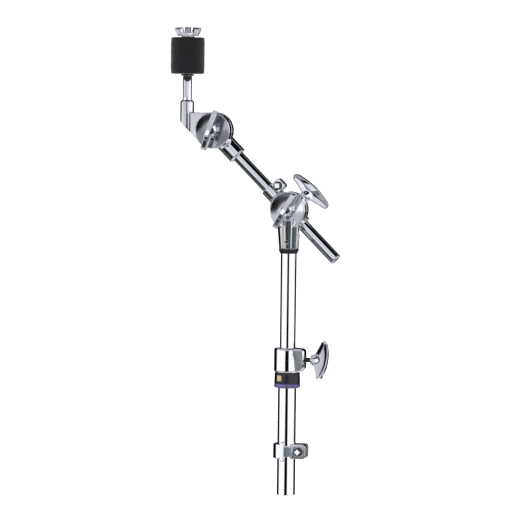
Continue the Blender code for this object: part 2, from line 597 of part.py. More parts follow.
def build_cymbal_post():
    """Post, seat washer, nylon sleeve, two felts and wing nut that hold a cymbal."""
    post = [(0.0, POST_FOOT), (POST_R, POST_FOOT), (POST_R, POST_SHOULDER), (M8_R, POST_SHOULDER),
            (M8_R, STUD_TOP - 1.6 * MM), (M8_R - 1.4 * MM, STUD_TOP), (0.0, STUD_TOP)]
    piece("cymbal_post", lathe(post, 28), POST_FRAME, CHROME)
    seat_low = POST_SHOULDER + GAP
    piece("seat_washer", lathe([(M8_R + GAP, seat_low), (9 * MM, seat_low),
                                (9 * MM, SEAT_TOP), (M8_R + GAP, SEAT_TOP)]),
          POST_FRAME, BLACK_PLASTIC)
    sleeve_low = SEAT_TOP + GAP
    piece("nylon_sleeve", lathe([(M8_R + GAP, sleeve_low), (SLEEVE_R, sleeve_low),
                                 (SLEEVE_R, NUT_BOTTOM - 2 * MM),
                                 (M8_R + GAP, NUT_BOTTOM - 2 * MM)], 28), POST_FRAME, NYLON)
    for name, low in (("lower_felt", sleeve_low), ("upper_felt", sleeve_low + FELT_HEIGHT + GAP)):
        piece(name, lathe(rounded_bar(FELT_R, FELT_HOLE_R, low, low + FELT_HEIGHT, 0.8 * MM)),
              POST_FRAME, FELT)

    low = NUT_BOTTOM
    hub = [(0.0, low), (7.4 * MM, low), (7.4 * MM, low + 1.4 * MM), (5.9 * MM, low + 2.4 * MM),
           (5.6 * MM, low + 7.5 * MM), (0.0, low + 7.5 * MM)]
    nut = piece("cymbal_wing_nut", lathe(hub, SMALL_ROUND), POST_FRAME, CHROME)
    for side in (-1, 1):
        blade = [(4.8 * MM, low + 1.8 * MM), (12.4 * MM, low + 1.2 * MM),
                 (14 * MM, low + 3.6 * MM), (16.2 * MM, low + 10 * MM), (15 * MM, low + 11.4 * MM),
                 (7.6 * MM, low + 11.9 * MM), (6.4 * MM, low + 10.4 * MM), (4.8 * MM, low + 7 * MM)]
        outline = [(side * x, z) for x, z in blade]
        add(nut, prism(outline, -1.9 * MM, 1.9 * MM, upright=True), POST_FRAME)
    cut(nut, rod(M8_R + GAP, low - 2 * MM, low + 20 * MM), POST_FRAME)


build_lower_tube()
build_height_clamp()
build_height_bolt()
build_memory_lock()
build_upper_tube()
build_neck()
build_boom_holder()
build_boom()
build_upper_holder()
build_cymbal_arm()
build_cymbal_post()
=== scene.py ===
"""Looks of the cymbal boom stand: fine surfaces, felts, materials, studio and camera.

Shapes are drawn in millimetres. Castings are signed distance shapes, negative inside, which are
meshed on a grid; round pieces are turned outlines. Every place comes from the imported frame.
"""
import json
import math

import bmesh
import bpy
import numpy as np
from mathutils import Matrix, Vector


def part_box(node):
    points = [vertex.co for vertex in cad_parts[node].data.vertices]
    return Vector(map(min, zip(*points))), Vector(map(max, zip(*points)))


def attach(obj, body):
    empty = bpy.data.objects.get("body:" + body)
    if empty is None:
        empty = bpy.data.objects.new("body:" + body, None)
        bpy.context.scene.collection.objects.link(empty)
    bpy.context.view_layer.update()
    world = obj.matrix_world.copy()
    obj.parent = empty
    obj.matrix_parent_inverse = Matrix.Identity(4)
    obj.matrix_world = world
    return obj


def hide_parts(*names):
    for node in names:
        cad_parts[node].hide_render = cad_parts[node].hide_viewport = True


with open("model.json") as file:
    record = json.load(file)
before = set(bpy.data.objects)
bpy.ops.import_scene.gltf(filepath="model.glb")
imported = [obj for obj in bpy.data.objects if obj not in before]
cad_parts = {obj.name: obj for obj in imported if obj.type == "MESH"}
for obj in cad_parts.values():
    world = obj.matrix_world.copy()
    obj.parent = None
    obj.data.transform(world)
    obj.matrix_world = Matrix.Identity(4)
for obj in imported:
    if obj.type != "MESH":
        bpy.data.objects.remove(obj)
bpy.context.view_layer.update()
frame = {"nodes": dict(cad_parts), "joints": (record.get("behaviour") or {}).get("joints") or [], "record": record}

MM = 0.001
JOINTS = {joint["name"]: joint for joint in frame["joints"]}
BODY_OF = {name: body for body, names in frame["record"]["behaviour"]["bodies"].items()
           for name in names}

ROUND = 128  # sides of a turned piece
FINE = 0.32  # grid steps of the castings
MEDIUM = 0.42
COARSE = 0.5

TUBE_R = 11.1
UPPER_R = 9.55
BOOM_R = 7.15
WALL = 1.2
TUBE_BORE_R = TUBE_R + 0.3  # the bores that take them
UPPER_BORE_R = UPPER_R + 0.3
BOOM_BORE_R = BOOM_R + 0.3
M6_BORE_R = 3.4
M8_BORE_R = 4.3

DISC_R = 21.8  # discs of both tilters
DISC_FRONT = 11.5  # from the joint's middle
DISC_BACK = 1.4


# ---- frames
class Place:
    """A local frame: an origin in millimetres and three unit axes."""

    def __init__(self, origin, z_axis, x_axis):
        self.origin = np.array(origin, float)
        z = np.array(z_axis, float)
        x = np.array(x_axis, float)
        z /= np.linalg.norm(z)
        x /= np.linalg.norm(x)
        self.axes = np.array([x, np.cross(z, x), z])

    def local(self, points):
        """World points as coordinates of this frame."""
        return (points - self.origin) @ self.axes.T

    def world(self, points):
        """Points of this frame as world points."""
        return points @ self.axes + self.origin

    def moved(self, x=0.0, y=0.0, z=0.0):
        """The same axes at another point of this frame."""
        return Place(self.world(np.array([x, y, z])), self.axes[2], self.axes[0])

    def facing(self, z_axis, x_axis):
        """The same origin with other axes."""
        return Place(self.origin, z_axis, x_axis)

    def turned(self, degrees):
        """The same frame turned about its own Z axis."""
        angle = math.radians(degrees)
        x = math.cos(angle) * self.axes[0] + math.sin(angle) * self.axes[1]
        return Place(self.origin, self.axes[2], x)


def middle(node_name):
    """Centre of a CAD node's box, in millimetres."""
    low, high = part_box(node_name)
    return np.array((low + high) / 2) / MM


def joint_point(name):
    """The point on a joint's axis, in millimetres."""
    return np.array(JOINTS[name]["pos_m"]) / MM


FRONT = np.array([0.0, -1.0, 0.0])
RIGHT = np.array([1.0, 0.0, 0.0])
UP = np.array([0.0, 0.0, 1.0])
ALONG = np.array(JOINTS["boom_slide"]["axis"])
ACROSS = np.array(JOINTS["boom_clamp_turn"]["axis"])

LOWER_PIVOT = joint_point("boom_tilt")
UPPER_PIVOT = joint_point("cymbal_tilt")
BOOM_Y = middle("boom_rod")[1]
BOOM_OFFSET = 4.0  # from the lower pivot to the boom's axis, across it
BOOM_LOCK_AT = 32.1  # along the boom
BOOM_LOCK_SCREW_AT = 11.9  # across it
SOCKET_SCREW_AT = 27.0  # up the cymbal post
FERRULE_SCREW_AT = -31.0  # along the boom from the upper pivot
BOOM_START = LOWER_PIVOT - BOOM_OFFSET * ACROSS - BOOM_Y * FRONT
PIVOT_SPACING = np.linalg.norm(UPPER_PIVOT - LOWER_PIVOT)
MEMORY_Z = middle("memory_nut")[2]
HEIGHT_BOLT_Z = middle("height_stem")[2]
POST_POINT = np.array([middle("cymbal_post")[0], middle("cymbal_post")[1], UPPER_PIVOT[2]])

BASE = Place((0, 0, 0), UP, RIGHT)
HEIGHT_BOLT = Place((0, 0, HEIGHT_BOLT_Z), RIGHT, FRONT)
MEMORY = Place((0, 0, MEMORY_Z), UP, RIGHT)
MEMORY_SCREW = Place((middle("memory_screw")[0], 0, MEMORY_Z), FRONT, RIGHT)
LOWER_TILTER = Place(LOWER_PIVOT, FRONT, RIGHT)
UPPER_TILTER = Place(UPPER_PIVOT, FRONT, RIGHT)
BOOM = Place(BOOM_START, ALONG, ACROSS)
FERRULE = BOOM.moved(z=PIVOT_SPACING)
BOOM_CLAMP = Place(BOOM_START, ACROSS, -FRONT)
BOOM_LOCK = BOOM.moved(z=BOOM_LOCK_AT)
BOOM_LOCK_SCREW = BOOM_LOCK.moved(x=BOOM_LOCK_SCREW_AT).facing(FRONT, ACROSS)
POST = Place(POST_POINT, UP, RIGHT)
NECK_PIN = Place((0, 0, middle("neck_pin")[2]), FRONT, RIGHT)
SOCKET_SCREW = POST.moved(z=SOCKET_SCREW_AT).facing(-FRONT, RIGHT)
FERRULE_SCREW = FERRULE.moved(z=FERRULE_SCREW_AT).facing(-FRONT, RIGHT)


# ---- materials
def node(tree, kind, **values):
    """A shader node with some of its inputs or settings filled in."""
    made = tree.nodes.new(kind)
    for name, value in values.items():
        if name in made.inputs:
            made.inputs[name].default_value = value
        else:
            setattr(made, name, value)
    return made


def noise(tree, scale, detail=3.0, stretch=(1, 1, 1)):
    """Noise in the piece's own coordinates; scale is in features per metre."""
    place = node(tree, "ShaderNodeTexCoord")
    mapping = node(tree, "ShaderNodeMapping")
    mapping.inputs["Scale"].default_value = stretch
    made = node(tree, "ShaderNodeTexNoise", Scale=scale, Detail=detail)
    tree.links.new(place.outputs["Object"], mapping.inputs["Vector"])
    tree.links.new(mapping.outputs["Vector"], made.inputs["Vector"])
    return made.outputs["Fac"]


def ramp(tree, source, stops):
    """A colour ramp over (position, colour) stops."""
    made = node(tree, "ShaderNodeValToRGB")
    elements = made.color_ramp.elements
    while len(elements) < len(stops):
        elements.new(0.5)
    for element, (position, colour) in zip(elements, stops):
        element.position = position
        element.color = (*colour, 1.0)
    tree.links.new(source, made.inputs["Fac"])
    return made.outputs["Color"]


def spread(tree, source, low, high):
    """Map a 0 to 1 value to a range."""
    made = node(tree, "ShaderNodeMapRange")
    made.inputs["From Min"].default_value = 0.3
    made.inputs["From Max"].default_value = 0.7
    made.inputs["To Min"].default_value = low
    made.inputs["To Max"].default_value = high
    tree.links.new(source, made.inputs["Value"])
    return made.outputs["Result"]


def finish_of(name, colours, roughness, metallic, grain, waves, depth, stretch=(1, 1, 1),
              extras=()):
    """A procedural finish: mottled colour, uneven gloss and a fine relief.

    colours are the two ends of the mottle, roughness a range, grain the mottle's scale, waves
    the relief's scale and depth the relief's height in metres. extras are more inputs of the
    shader with their values.
    """
    made = bpy.data.materials.new(name)
    made.use_nodes = True
    tree = made.node_tree
    shader = tree.nodes["Principled BSDF"]
    shader.inputs["Metallic"].default_value = metallic
    mottle = noise(tree, grain, 4.0, stretch)
    tree.links.new(ramp(tree, mottle, [(0.3, colours[0]), (0.7, colours[1])]),
                   shader.inputs["Base Color"])
    tree.links.new(spread(tree, noise(tree, grain * 1.7, 5.0, stretch), *roughness),
                   shader.inputs["Roughness"])
    bump = node(tree, "ShaderNodeBump", Strength=1.0, Distance=depth)
    tree.links.new(noise(tree, waves, 3.0, stretch), bump.inputs["Height"])
    tree.links.new(bump.outputs["Normal"], shader.inputs["Normal"])
    for socket, value in extras:
        shader.inputs[socket].default_value = value
    return made


FINISHES = {name: finish_of(name, *values) for name, values in {
    "chrome": (((0.86, 0.87, 0.90), (0.93, 0.935, 0.95)), (0.015, 0.045), 1.0, 40.0, 160.0,
               0.0000006),
    "cast_chrome": (((0.84, 0.85, 0.89), (0.93, 0.935, 0.95)), (0.03, 0.08), 1.0, 60.0, 120.0,
                    0.000012),
    "satin_chrome": (((0.80, 0.81, 0.86), (0.9, 0.905, 0.93)), (0.08, 0.13), 1.0, 60.0, 120.0,
                     0.000008),
    # painted shade: a darker copy of chrome for the upper dish, standing in for its dark reflections
    "painted_shade_chrome": (((0.32, 0.34, 0.37), (0.42, 0.44, 0.47)), (0.08, 0.13), 1.0, 60.0, 120.0,
                      0.000008),
    "dark_steel": (((0.05, 0.05, 0.055), (0.12, 0.12, 0.125)), (0.28, 0.42), 1.0, 700.0, 2500.0,
                   0.00001),
    "gilt": (((0.62, 0.46, 0.20), (0.86, 0.70, 0.38)), (0.18, 0.32), 1.0, 400.0, 1200.0,
             0.00001),
    "black_plastic": (((0.005, 0.006, 0.009), (0.011, 0.012, 0.016)), (0.2, 0.32), 0.0, 500.0,
                      2200.0, 0.00001),
    "matt_black": (((0.004, 0.004, 0.005), (0.008, 0.008, 0.009)), (0.85, 0.95), 0.0, 500.0,
                   2200.0, 0.00001, (1, 1, 1), [("Specular IOR Level", 0.1)]),
    "purple_plastic": (((0.05, 0.042, 0.12), (0.09, 0.075, 0.20)), (0.22, 0.34), 0.0, 300.0,
                       900.0, 0.00001, (1, 1, 1), [("Coat Weight", 0.4)]),
    "nylon": (((0.50, 0.49, 0.45), (0.62, 0.61, 0.57)), (0.4, 0.55), 0.0, 200.0, 900.0,
              0.00001),
    "fibre": (((0.02, 0.017, 0.015), (0.075, 0.06, 0.05)), (0.7, 0.9), 0.0, 1800.0, 2500.0,
              0.00004),
    "felt": (((0.004, 0.004, 0.005), (0.014, 0.014, 0.016)), (0.92, 1.0), 0.0, 900.0, 2600.0,
             0.00025, (1, 1, 2.2), [("Sheen Weight", 0.25), ("Sheen Roughness", 0.4),
                                    ("Specular IOR Level", 0.2)]),
}.items()}
SLOT_OF = {"matt_black": "black_plastic", "cast_chrome": "chrome", "gilt": "black_plastic"}


# ---- meshes
def add_piece(name, points, faces, normals, finish, node_name):
    """A mesh piece in world millimetres that stands for a CAD node and rides on its body."""
    mesh = bpy.data.meshes.new(name)
    mesh.from_pydata((points * MM).tolist(), [], faces)
    mesh.shade_smooth()
    mesh.normals_split_custom_set_from_vertices(normals.tolist())
    mesh.materials.append(FINISHES[finish])
    made = bpy.data.objects.new(name, mesh)
    bpy.context.scene.collection.objects.link(made)
    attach(made, BODY_OF[node_name])
    SLOT_OF.get(finish, finish)
    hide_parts(node_name)
    return made


NEARLY_STRAIGHT = 0.94  # cosine of the turn of a corner that stays sharp


def softened(outline, radius, steps=4):
    """Round the corners of a closed outline."""
    result = []
    count = len(outline)
    for i in range(count):
        before = np.array(outline[i - 1], float)
        corner = np.array(outline[i], float)
        after = np.array(outline[(i + 1) % count], float)
        back = before - corner
        ahead = after - corner
        back_length = np.linalg.norm(back)
        ahead_length = np.linalg.norm(ahead)
        straight = -(back @ ahead) / (back_length * ahead_length)
        if straight > NEARLY_STRAIGHT or corner[0] == 0.0:
            result.append(tuple(corner))
            continue
        reach = min(radius, 0.45 * back_length, 0.45 * ahead_length)
        start = corner + back * reach / back_length
        end = corner + ahead * reach / ahead_length
        for j in range(steps + 1):
            t = j / steps
            point = (1 - t) ** 2 * start + 2 * t * (1 - t) * corner + t * t * end
            result.append(tuple(point))
    return result


def spin(name, profile, place, finish, node_name, soft=0.3, sides=ROUND, opening=0.0,
         relief=None):
    """Turn a closed (radius, height) outline about a frame's Z axis.

    The outline runs anticlockwise with the radius to the right. opening is the angle in degrees
    of a slot facing -X. relief(angle, radius, height) returns a new radius.
    """
    outline = np.array(softened(profile, soft))
    rows = len(outline)
    if opening:
        start = math.radians(-180 + opening / 2)
        angles = np.linspace(start, -start, sides + 1)
    else:
        angles = np.arange(sides) * math.tau / sides
    columns = len(angles)
    angle = np.repeat(angles, rows)
    radius = np.tile(outline[:, 0], columns)
    height = np.tile(outline[:, 1], columns)
    if relief:
        radius = relief(angle, radius, height)
    local = np.stack([radius * np.cos(angle), radius * np.sin(angle), height], 1)

    edges = np.roll(outline, -1, 0) - outline
    edge_normals = np.stack([edges[:, 1], -edges[:, 0]], 1)  # longer edges weigh more
    flat = edge_normals + np.roll(edge_normals, 1, 0)
    flat /= np.linalg.norm(flat, axis=1)[:, None] + 1e-12
    out = np.tile(flat[:, 0], columns)
    along = np.tile(flat[:, 1], columns)
    normals = np.stack([out * np.cos(angle), out * np.sin(angle), along], 1)

    faces = []
    for j in range(columns if not opening else columns - 1):
        k = (j + 1) % columns
        for i in range(rows):
            m = (i + 1) % rows
            if outline[i, 0] == 0.0 and outline[m, 0] == 0.0:
                continue
            faces.append((j * rows + i, k * rows + i, k * rows + m, j * rows + m))
    if opening:
        last = (columns - 1) * rows
        faces.append(tuple(range(rows)))
        faces.append(tuple(range(last + rows - 1, last - 1, -1)))
    made = add_piece(name, place.world(local), faces, normals @ place.axes, finish, node_name)
    clean(made)
    return made


def clean(made):
    """Merge the points on a turned piece's axis."""
    mesh = bmesh.new()
    mesh.from_mesh(made.data)
    bmesh.ops.remove_doubles(mesh, verts=mesh.verts, dist=1e-7)
    bmesh.ops.dissolve_degenerate(mesh, dist=1e-7, edges=mesh.edges)
    mesh.to_mesh(made.data)
    mesh.free()


# ---- signed distance shapes
def corner_of(a, b, edge):
    """Both inside a and inside b, with their shared edge rounded."""
    a = a + edge
    b = b + edge
    return np.minimum(np.maximum(a, b), 0) + np.hypot(np.maximum(a, 0), np.maximum(b, 0)) - edge


def chamfer_of(a, b, edge):
    """Both inside a and inside b, with a 45 degree chamfer on their shared edge."""
    return np.maximum(np.maximum(a, b), (a + b + edge) * math.sqrt(0.5))


def join(a, b, fillet=0.6):
    """Union with a fillet."""
    blend = np.maximum(fillet - np.abs(a - b), 0) / fillet
    return np.minimum(a, b) - blend * blend * fillet / 4


def carve(a, b, fillet=0.25):
    """a without b, with a soft edge."""
    return -join(-a, b, fillet)


def bar(p, radius, low, high, edge=0.35):
    """Round bar along Z."""
    ends = np.maximum(low - p[:, 2], p[:, 2] - high)
    return corner_of(np.hypot(p[:, 0], p[:, 1]) - radius, ends, edge)


def block(p, x_range, y_range, z_range, edge=0.35):
    """Box with rounded edges."""
    low = np.array([x_range[0], y_range[0], z_range[0]])
    high = np.array([x_range[1], y_range[1], z_range[1]])
    q = np.abs(p - (low + high) / 2) - (high - low) / 2 + edge
    return np.linalg.norm(np.maximum(q, 0), axis=1) + np.minimum(q.max(1), 0) - edge


def hexagon(p, across_flats, low, high):
    """Hexagonal prism along Z."""
    flats = [p[:, 0] * math.cos(a) + p[:, 1] * math.sin(a)
             for a in (math.radians(30), math.radians(90), math.radians(150))]
    side = np.abs(np.array(flats)).max(0) - across_flats / 2
    return corner_of(side, np.maximum(low - p[:, 2], p[:, 2] - high), 0.2)


def outline_distance(u, v, outline):
    """Signed distance in a plane to a closed outline."""
    best = np.full(u.shape, 1e9)
    inside = np.zeros(u.shape, bool)
    for (ax, ay), (bx, by) in zip(outline, outline[1:] + outline[:1]):
        ex, ey = bx - ax, by - ay
        wx, wy = u - ax, v - ay
        share = np.clip((wx * ex + wy * ey) / (ex * ex + ey * ey), 0, 1)
        best = np.minimum(best, (wx - share * ex) ** 2 + (wy - share * ey) ** 2)
        if ey != 0.0:
            inside ^= ((ay > v) != (by > v)) & (u < ax + wy * ex / ey)
    return np.where(inside, -1, 1) * np.sqrt(best)


def turned_shape(p, profile):
    """A closed (radius, height) outline turned about Z."""
    return outline_distance(np.hypot(p[:, 0], p[:, 1]), p[:, 2], profile)


def arc(centre, radius, start, end, steps=8):
    """Points along an arc, from start to end in degrees."""
    angles = np.radians(np.linspace(start, end, steps + 1))
    return [(centre[0] + radius * math.cos(a), centre[1] + radius * math.sin(a)) for a in angles]


BLOCK = 6  # grid points along a block that is skipped as a whole
BLOCK_REACH = 1.3  # in block sides, how near the surface has to be to count


def sample(shape, low, counts, step):
    """Distances on a grid; blocks that the surface can't reach keep their centre's value."""
    blocks = counts // BLOCK
    index = np.indices(blocks).reshape(3, -1).T
    centres = low + (index * BLOCK + (BLOCK - 1) / 2) * step
    coarse = shape(centres).reshape(blocks)
    near = np.abs(coarse) < BLOCK * step * BLOCK_REACH
    field = coarse
    mask = near
    for axis in range(3):
        field = np.repeat(field, BLOCK, axis)
        mask = np.repeat(mask, BLOCK, axis)
    field[mask] = shape(low + np.argwhere(mask) * step)
    return field


def surface(shape, low, high, step):
    """Points and quads of a shape's surface, one point per grid cell that it crosses."""
    counts = (np.ceil((high - low) / step / BLOCK).astype(int) + 1) * BLOCK
    field = sample(shape, low, counts, step)
    inside = field < 0
    cells = counts - 1
    sums = np.zeros((int(np.prod(cells)), 4))
    quads = []
    for axis in range(3):
        here = [slice(None)] * 3
        there = [slice(None)] * 3
        here[axis] = slice(0, -1)
        there[axis] = slice(1, None)
        a, b = field[tuple(here)], field[tuple(there)]
        crossing = np.argwhere(inside[tuple(here)] != inside[tuple(there)])
        first = a[tuple(crossing.T)]
        share = first / (first - b[tuple(crossing.T)])
        point = crossing.astype(float)
        point[:, axis] += share
        others = [(axis + 1) % 3, (axis + 2) % 3]
        ok = np.all((crossing[:, others] > 0) & (crossing[:, others] < cells[others]), axis=1)
        ring = []
        for step_1, step_2 in ((-1, -1), (0, -1), (0, 0), (-1, 0)):
            cell = crossing.copy()
            cell[:, others[0]] += step_1
            cell[:, others[1]] += step_2
            valid = np.all((cell >= 0) & (cell < cells), axis=1)
            number = (cell[:, 0] * cells[1] + cell[:, 1]) * cells[2] + cell[:, 2]
            for column in range(3):
                sums[:, column] += np.bincount(number[valid], point[valid, column], len(sums))
            sums[:, 3] += np.bincount(number[valid], minlength=len(sums))
            ring.append(number)
        ring = np.array(ring).T[ok]
        outward = first[ok] < 0
        quads.append(np.where(outward[:, None], ring, ring[:, ::-1]))
    used = np.flatnonzero(sums[:, 3])
    lookup = np.zeros(len(sums), int)
    lookup[used] = np.arange(len(used))
    points = low + sums[used, :3] / sums[used, 3:] * step
    return points, lookup[np.concatenate(quads)]


def gradient(shape, points, reach):
    """Direction in which a shape's distance grows."""
    result = np.empty_like(points)
    for axis in range(3):
        offset = np.zeros(3)
        offset[axis] = reach
        result[:, axis] = shape(points + offset) - shape(points - offset)
    return result / (2 * reach)


MARGIN = 3.5  # how far a shape may pass its CAD box


def cast(name, shape, finish, step, node_name):
    """Mesh a shape in the box of its CAD node, with points and normals set from the shape."""
    low, high = (np.array(corner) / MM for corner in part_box(node_name))
    low -= MARGIN
    high += MARGIN
    points, faces = surface(shape, low, high, step)
    for _ in range(3):  # walk the points onto the surface
        slope = gradient(shape, points, 0.05)
        size = np.maximum((slope ** 2).sum(1), 0.25)
        move = slope * (shape(points) / size)[:, None]
        points = points - np.clip(move, -step, step)
    normals = gradient(shape, points, 0.18)
    normals /= np.linalg.norm(normals, axis=1)[:, None] + 1e-9
    return add_piece(name, points, faces.tolist(), normals, finish, node_name)


# ---- repeated shapes
M6 = {"radius": 3.0, "pitch": 1.0, "depth": 0.42}
M8 = {"radius": 4.0, "pitch": 1.25, "depth": 0.5}
TIP_CHAMFER = 0.6


def thread(name, place, size, low, high, finish, node_name, foot=None):
    """Threaded rod with a real helix, a chamfered tip, and a plain foot outline below it."""
    radius = size["radius"]
    shoulder = high - TIP_CHAMFER
    outline = [(0.0, low)] if foot is None else foot
    outline = outline + [(radius, z) for z in np.arange(low, high, size["pitch"] / 8)]
    outline += [(radius, shoulder), (radius - TIP_CHAMFER, high), (0.0, high)]

    def relief(angle, current, height):
        phase = (height / size["pitch"] - angle / math.tau) % 1.0
        groove = 1 - np.abs(2 * phase - 1)
        ends = np.clip((height - low) / 0.8, 0, 1) * np.clip((shoulder - height) / 0.4, 0, 1)
        rim = (np.abs(current - radius) < 1e-6) & (height >= low)
        return current - rim * size["depth"] * groove * ends

    made = spin(name, outline, place, finish, node_name, soft=0.0, sides=48, relief=relief)
    mesh = made.data
    if mesh.has_custom_normals:  # the turned ones don't know the groove
        mesh.attributes.remove(mesh.attributes["custom_normal"])
    mesh.set_sharp_from_angle(angle=math.radians(50))
    return made


WING_BOLT = {"half_span": 28.3, "reach": 19.5, "hub_r": 6.4, "thick": 6.6, "bore": (3.3, 7.3)}
HEIGHT_WING = {**WING_BOLT, "half_span": 26.5, "reach": 21.0}
WING_NUT = {"half_span": 24.5, "reach": 17.5, "hub_r": 7.2, "thick": 6.4, "bore": (4.3, 11.4)}
WINGS = {  # frame, degrees turned, start along the axis, size
    "height_wing": (HEIGHT_BOLT, 52.0, 28.8, HEIGHT_WING),
    "lower_wing_nut": (LOWER_TILTER, 59.5, DISC_FRONT + 1.5, WING_NUT),
    "boom_clamp_wing": (BOOM_CLAMP, 104.0, 23.4, WING_BOLT),
    "upper_wing_nut": (UPPER_TILTER, 72.0, DISC_FRONT + 1.5, WING_NUT),
}
RIM_WIDTH = 1.5
HOLLOW_WIDTH = 8.0
HOLLOW_DEPTH = 2.1


def blade_outline(size):
    """Half-moon outline of a pair of wings: a gently bowed outer edge and two round tips."""
    span, reach = size["half_span"], size["reach"]
    bow = 0.22 * reach
    tip_r = 0.14 * span
    tip = (span - tip_r, reach - bow - 0.9 * tip_r)
    root = (size["hub_r"] - 1.5, 0.17 * reach)
    outer = []
    for i in range(17):
        across = (2.0 * i / 16 - 1.0) * tip[0]
        outer.append((-across, reach - bow * (across / span) ** 2))
    left_tip = arc((-tip[0], tip[1]), tip_r, 120, 255, 8)
    right_tip = arc(tip, tip_r, -75, 60, 8)
    return outer + left_tip + [(-root[0], root[1]), root] + right_tip


def wing_shape(p, size):
    """Cast wing head: hub, and two wings whose faces are hollowed inside a raised rim."""
    edge = outline_distance(p[:, 0], p[:, 2], blade_outline(size))
    inward = np.clip((-edge - RIM_WIDTH) / HOLLOW_WIDTH, 0, 1)
    hollow = HOLLOW_DEPTH * (1 - (1 - inward) ** 2)
    half = size["thick"] / 2 - hollow
    blades = corner_of(edge, (np.abs(p[:, 1]) - half) * 0.85, 0.9)
    hub_r = size["hub_r"]
    dome_low = 2.0
    dome_height = 0.36 * size["reach"]
    dome = [(hub_r * math.cos(a), dome_low + dome_height * math.sin(a))
            for a in np.radians((0, 18, 36, 54, 72))]
    hub = turned_shape(p, [(0, 0), (hub_r - 0.7, 0), (hub_r, 0.7), *dome,
                           (0, dome_low + dome_height)])
    head = join(blades, hub, 3.0)
    bore_r, bore_depth = size["bore"]
    return carve(head, bar(p, bore_r, -2, bore_depth))


def wing(node_name):
    """Wing head on its axis."""
    place, degrees, start, size = WINGS[node_name]
    head = place.turned(degrees).moved(z=start)
    cast(node_name + "_cast", lambda p: wing_shape(head.local(p), size), "cast_chrome", MEDIUM,
         node_name)


SCREW_R = 2.4
FLANGE_R = 5.2
FLANGE_HEIGHT = 1.4
KEY_HALF = 2.9  # half of the square head's width
SQUARE_NUT_HALF = 4.0


def key_screw_shape(p, shank_low, head_low):
    """Drum-key screw: shank, round flange and a square head set at 45 degrees."""
    turned = np.stack([(p[:, 0] + p[:, 1]), (p[:, 1] - p[:, 0]), p[:, 2] * math.sqrt(2)], 1)
    turned *= math.sqrt(0.5)
    groove = 0.18 * (1 + np.cos(math.tau * p[:, 2] / 0.8))
    shank = bar(p, SCREW_R, shank_low, head_low + 0.6)
    shank = shank + np.where(p[:, 2] < head_low - 1, groove, 0)
    flange = bar(p, FLANGE_R, head_low, head_low + FLANGE_HEIGHT)
    square = block(turned, (-KEY_HALF, KEY_HALF), (-KEY_HALF, KEY_HALF),
                   (head_low + 0.9, head_low + 5.2), 0.45)
    return join(join(shank, flange, 0.3), square, 0.5)


def faces_at(made, place):
    """Face centres of a mesh in a frame, in millimetres."""
    centres = np.empty(len(made.data.polygons) * 3)
    made.data.polygons.foreach_get("center", centres)
    return place.local(centres.reshape(-1, 3) / MM)


def key_screw(node_name, place, shank_low, head_low):
    """Drum-key screw with a blackened flange."""
    def shape(p):
        return key_screw_shape(place.local(p), shank_low, head_low)
    made = cast(node_name + "_square", shape, "chrome", 0.26, node_name)
    made.data.materials.append(FINISHES["dark_steel"])
    black = faces_at(made, place)[:, 2] < head_low + FLANGE_HEIGHT + 0.1
    made.data.polygons.foreach_set("material_index", black.astype(int))


def square_nut_shape(p, low, high):
    """Square nut with a chamfered hole."""
    across = (-SQUARE_NUT_HALF, SQUARE_NUT_HALF)
    nut = block(p, across, across, (low, high), 0.4)
    return carve(nut, bar(p, SCREW_R + 0.3, low - 1, high + 1), 0.5)


def socket_screw(name, place, low, high, radius):
    """Small grub screw with a hexagonal socket."""
    def shape(p):
        q = place.local(p)
        return carve(bar(q, radius, low, high, 0.3), hexagon(q, radius, high - 1.4, high + 1))
    cast(name, shape, "dark_steel", 0.16, name)


DISH_R = DISC_R - 1.5
DISH_DEPTH = 1.45
SEAT_R = 8.0  # raised seat of the nut, in the middle of the dish
REAR_DISC_DEPTH = 11.0
BOLT_POCKET = 13.6  # across the flats


def front_disc_shape(p):
    """Tilter's front disc: round rim, spherical dish and a raised seat for the nut."""
    profile = [(M8_BORE_R, DISC_BACK), (DISC_R - 0.5, DISC_BACK), (DISC_R, DISC_BACK + 0.5),
               (DISC_R, DISC_FRONT - 1.0)]
    profile += arc((DISC_R - 1.0, DISC_FRONT - 1.0), 1.0, 15, 120, 8)
    for i in range(17):
        r = DISH_R - (DISH_R - SEAT_R) * i / 16
        profile.append((r, DISC_FRONT - 0.3 - DISH_DEPTH * (1 - (r / DISH_R) ** 2)))
    seat = DISC_FRONT - 0.3
    profile += [(7.6, seat - 0.3), (7.2, seat), (M8_BORE_R, seat)]
    return turned_shape(p, profile)


def dull_and_shade_dish(made, place, finish):
    """Give the dish of a front disc another finish: on the lower tilter a duller satin chrome, on the upper one a
    darker chrome that is painted shade, standing in for the dish's dark reflections.
    """
    made.data.materials.append(FINISHES[finish])
    local = faces_at(made, place)
    radius = np.hypot(local[:, 0], local[:, 1])
    dish = (radius < DISH_R) & (radius > SEAT_R) & (local[:, 2] > DISC_FRONT / 2)
    made.data.polygons.foreach_set("material_index", dish.astype(int))


def rear_disc_shape(p):
    """Tilter's rear disc."""
    side = np.hypot(p[:, 0], p[:, 1]) - DISC_R
    back = -REAR_DISC_DEPTH - p[:, 2]
    return np.maximum(chamfer_of(side, back, 1.6), corner_of(side, p[:, 2], 0.5))


def washer(name, place, inner, outer, low, high, finish, soft=0.3):
    """Flat ring."""
    spin(name, [(inner, low), (outer, low), (outer, high), (inner, high)], place, finish,
         name, soft=soft)


def bolt_tilter(which, place):
    """What lies between a tilter's discs and on its bolt."""
    washer(which + "_friction_washer", place, 5.0, 19.5, 0.3, 1.1, "fibre", 0.15)
    washer(which + "_nut_washer", place, 4.4, 7.6, DISC_FRONT, DISC_FRONT + 1.2, "chrome")
    wing(which + "_wing_nut")


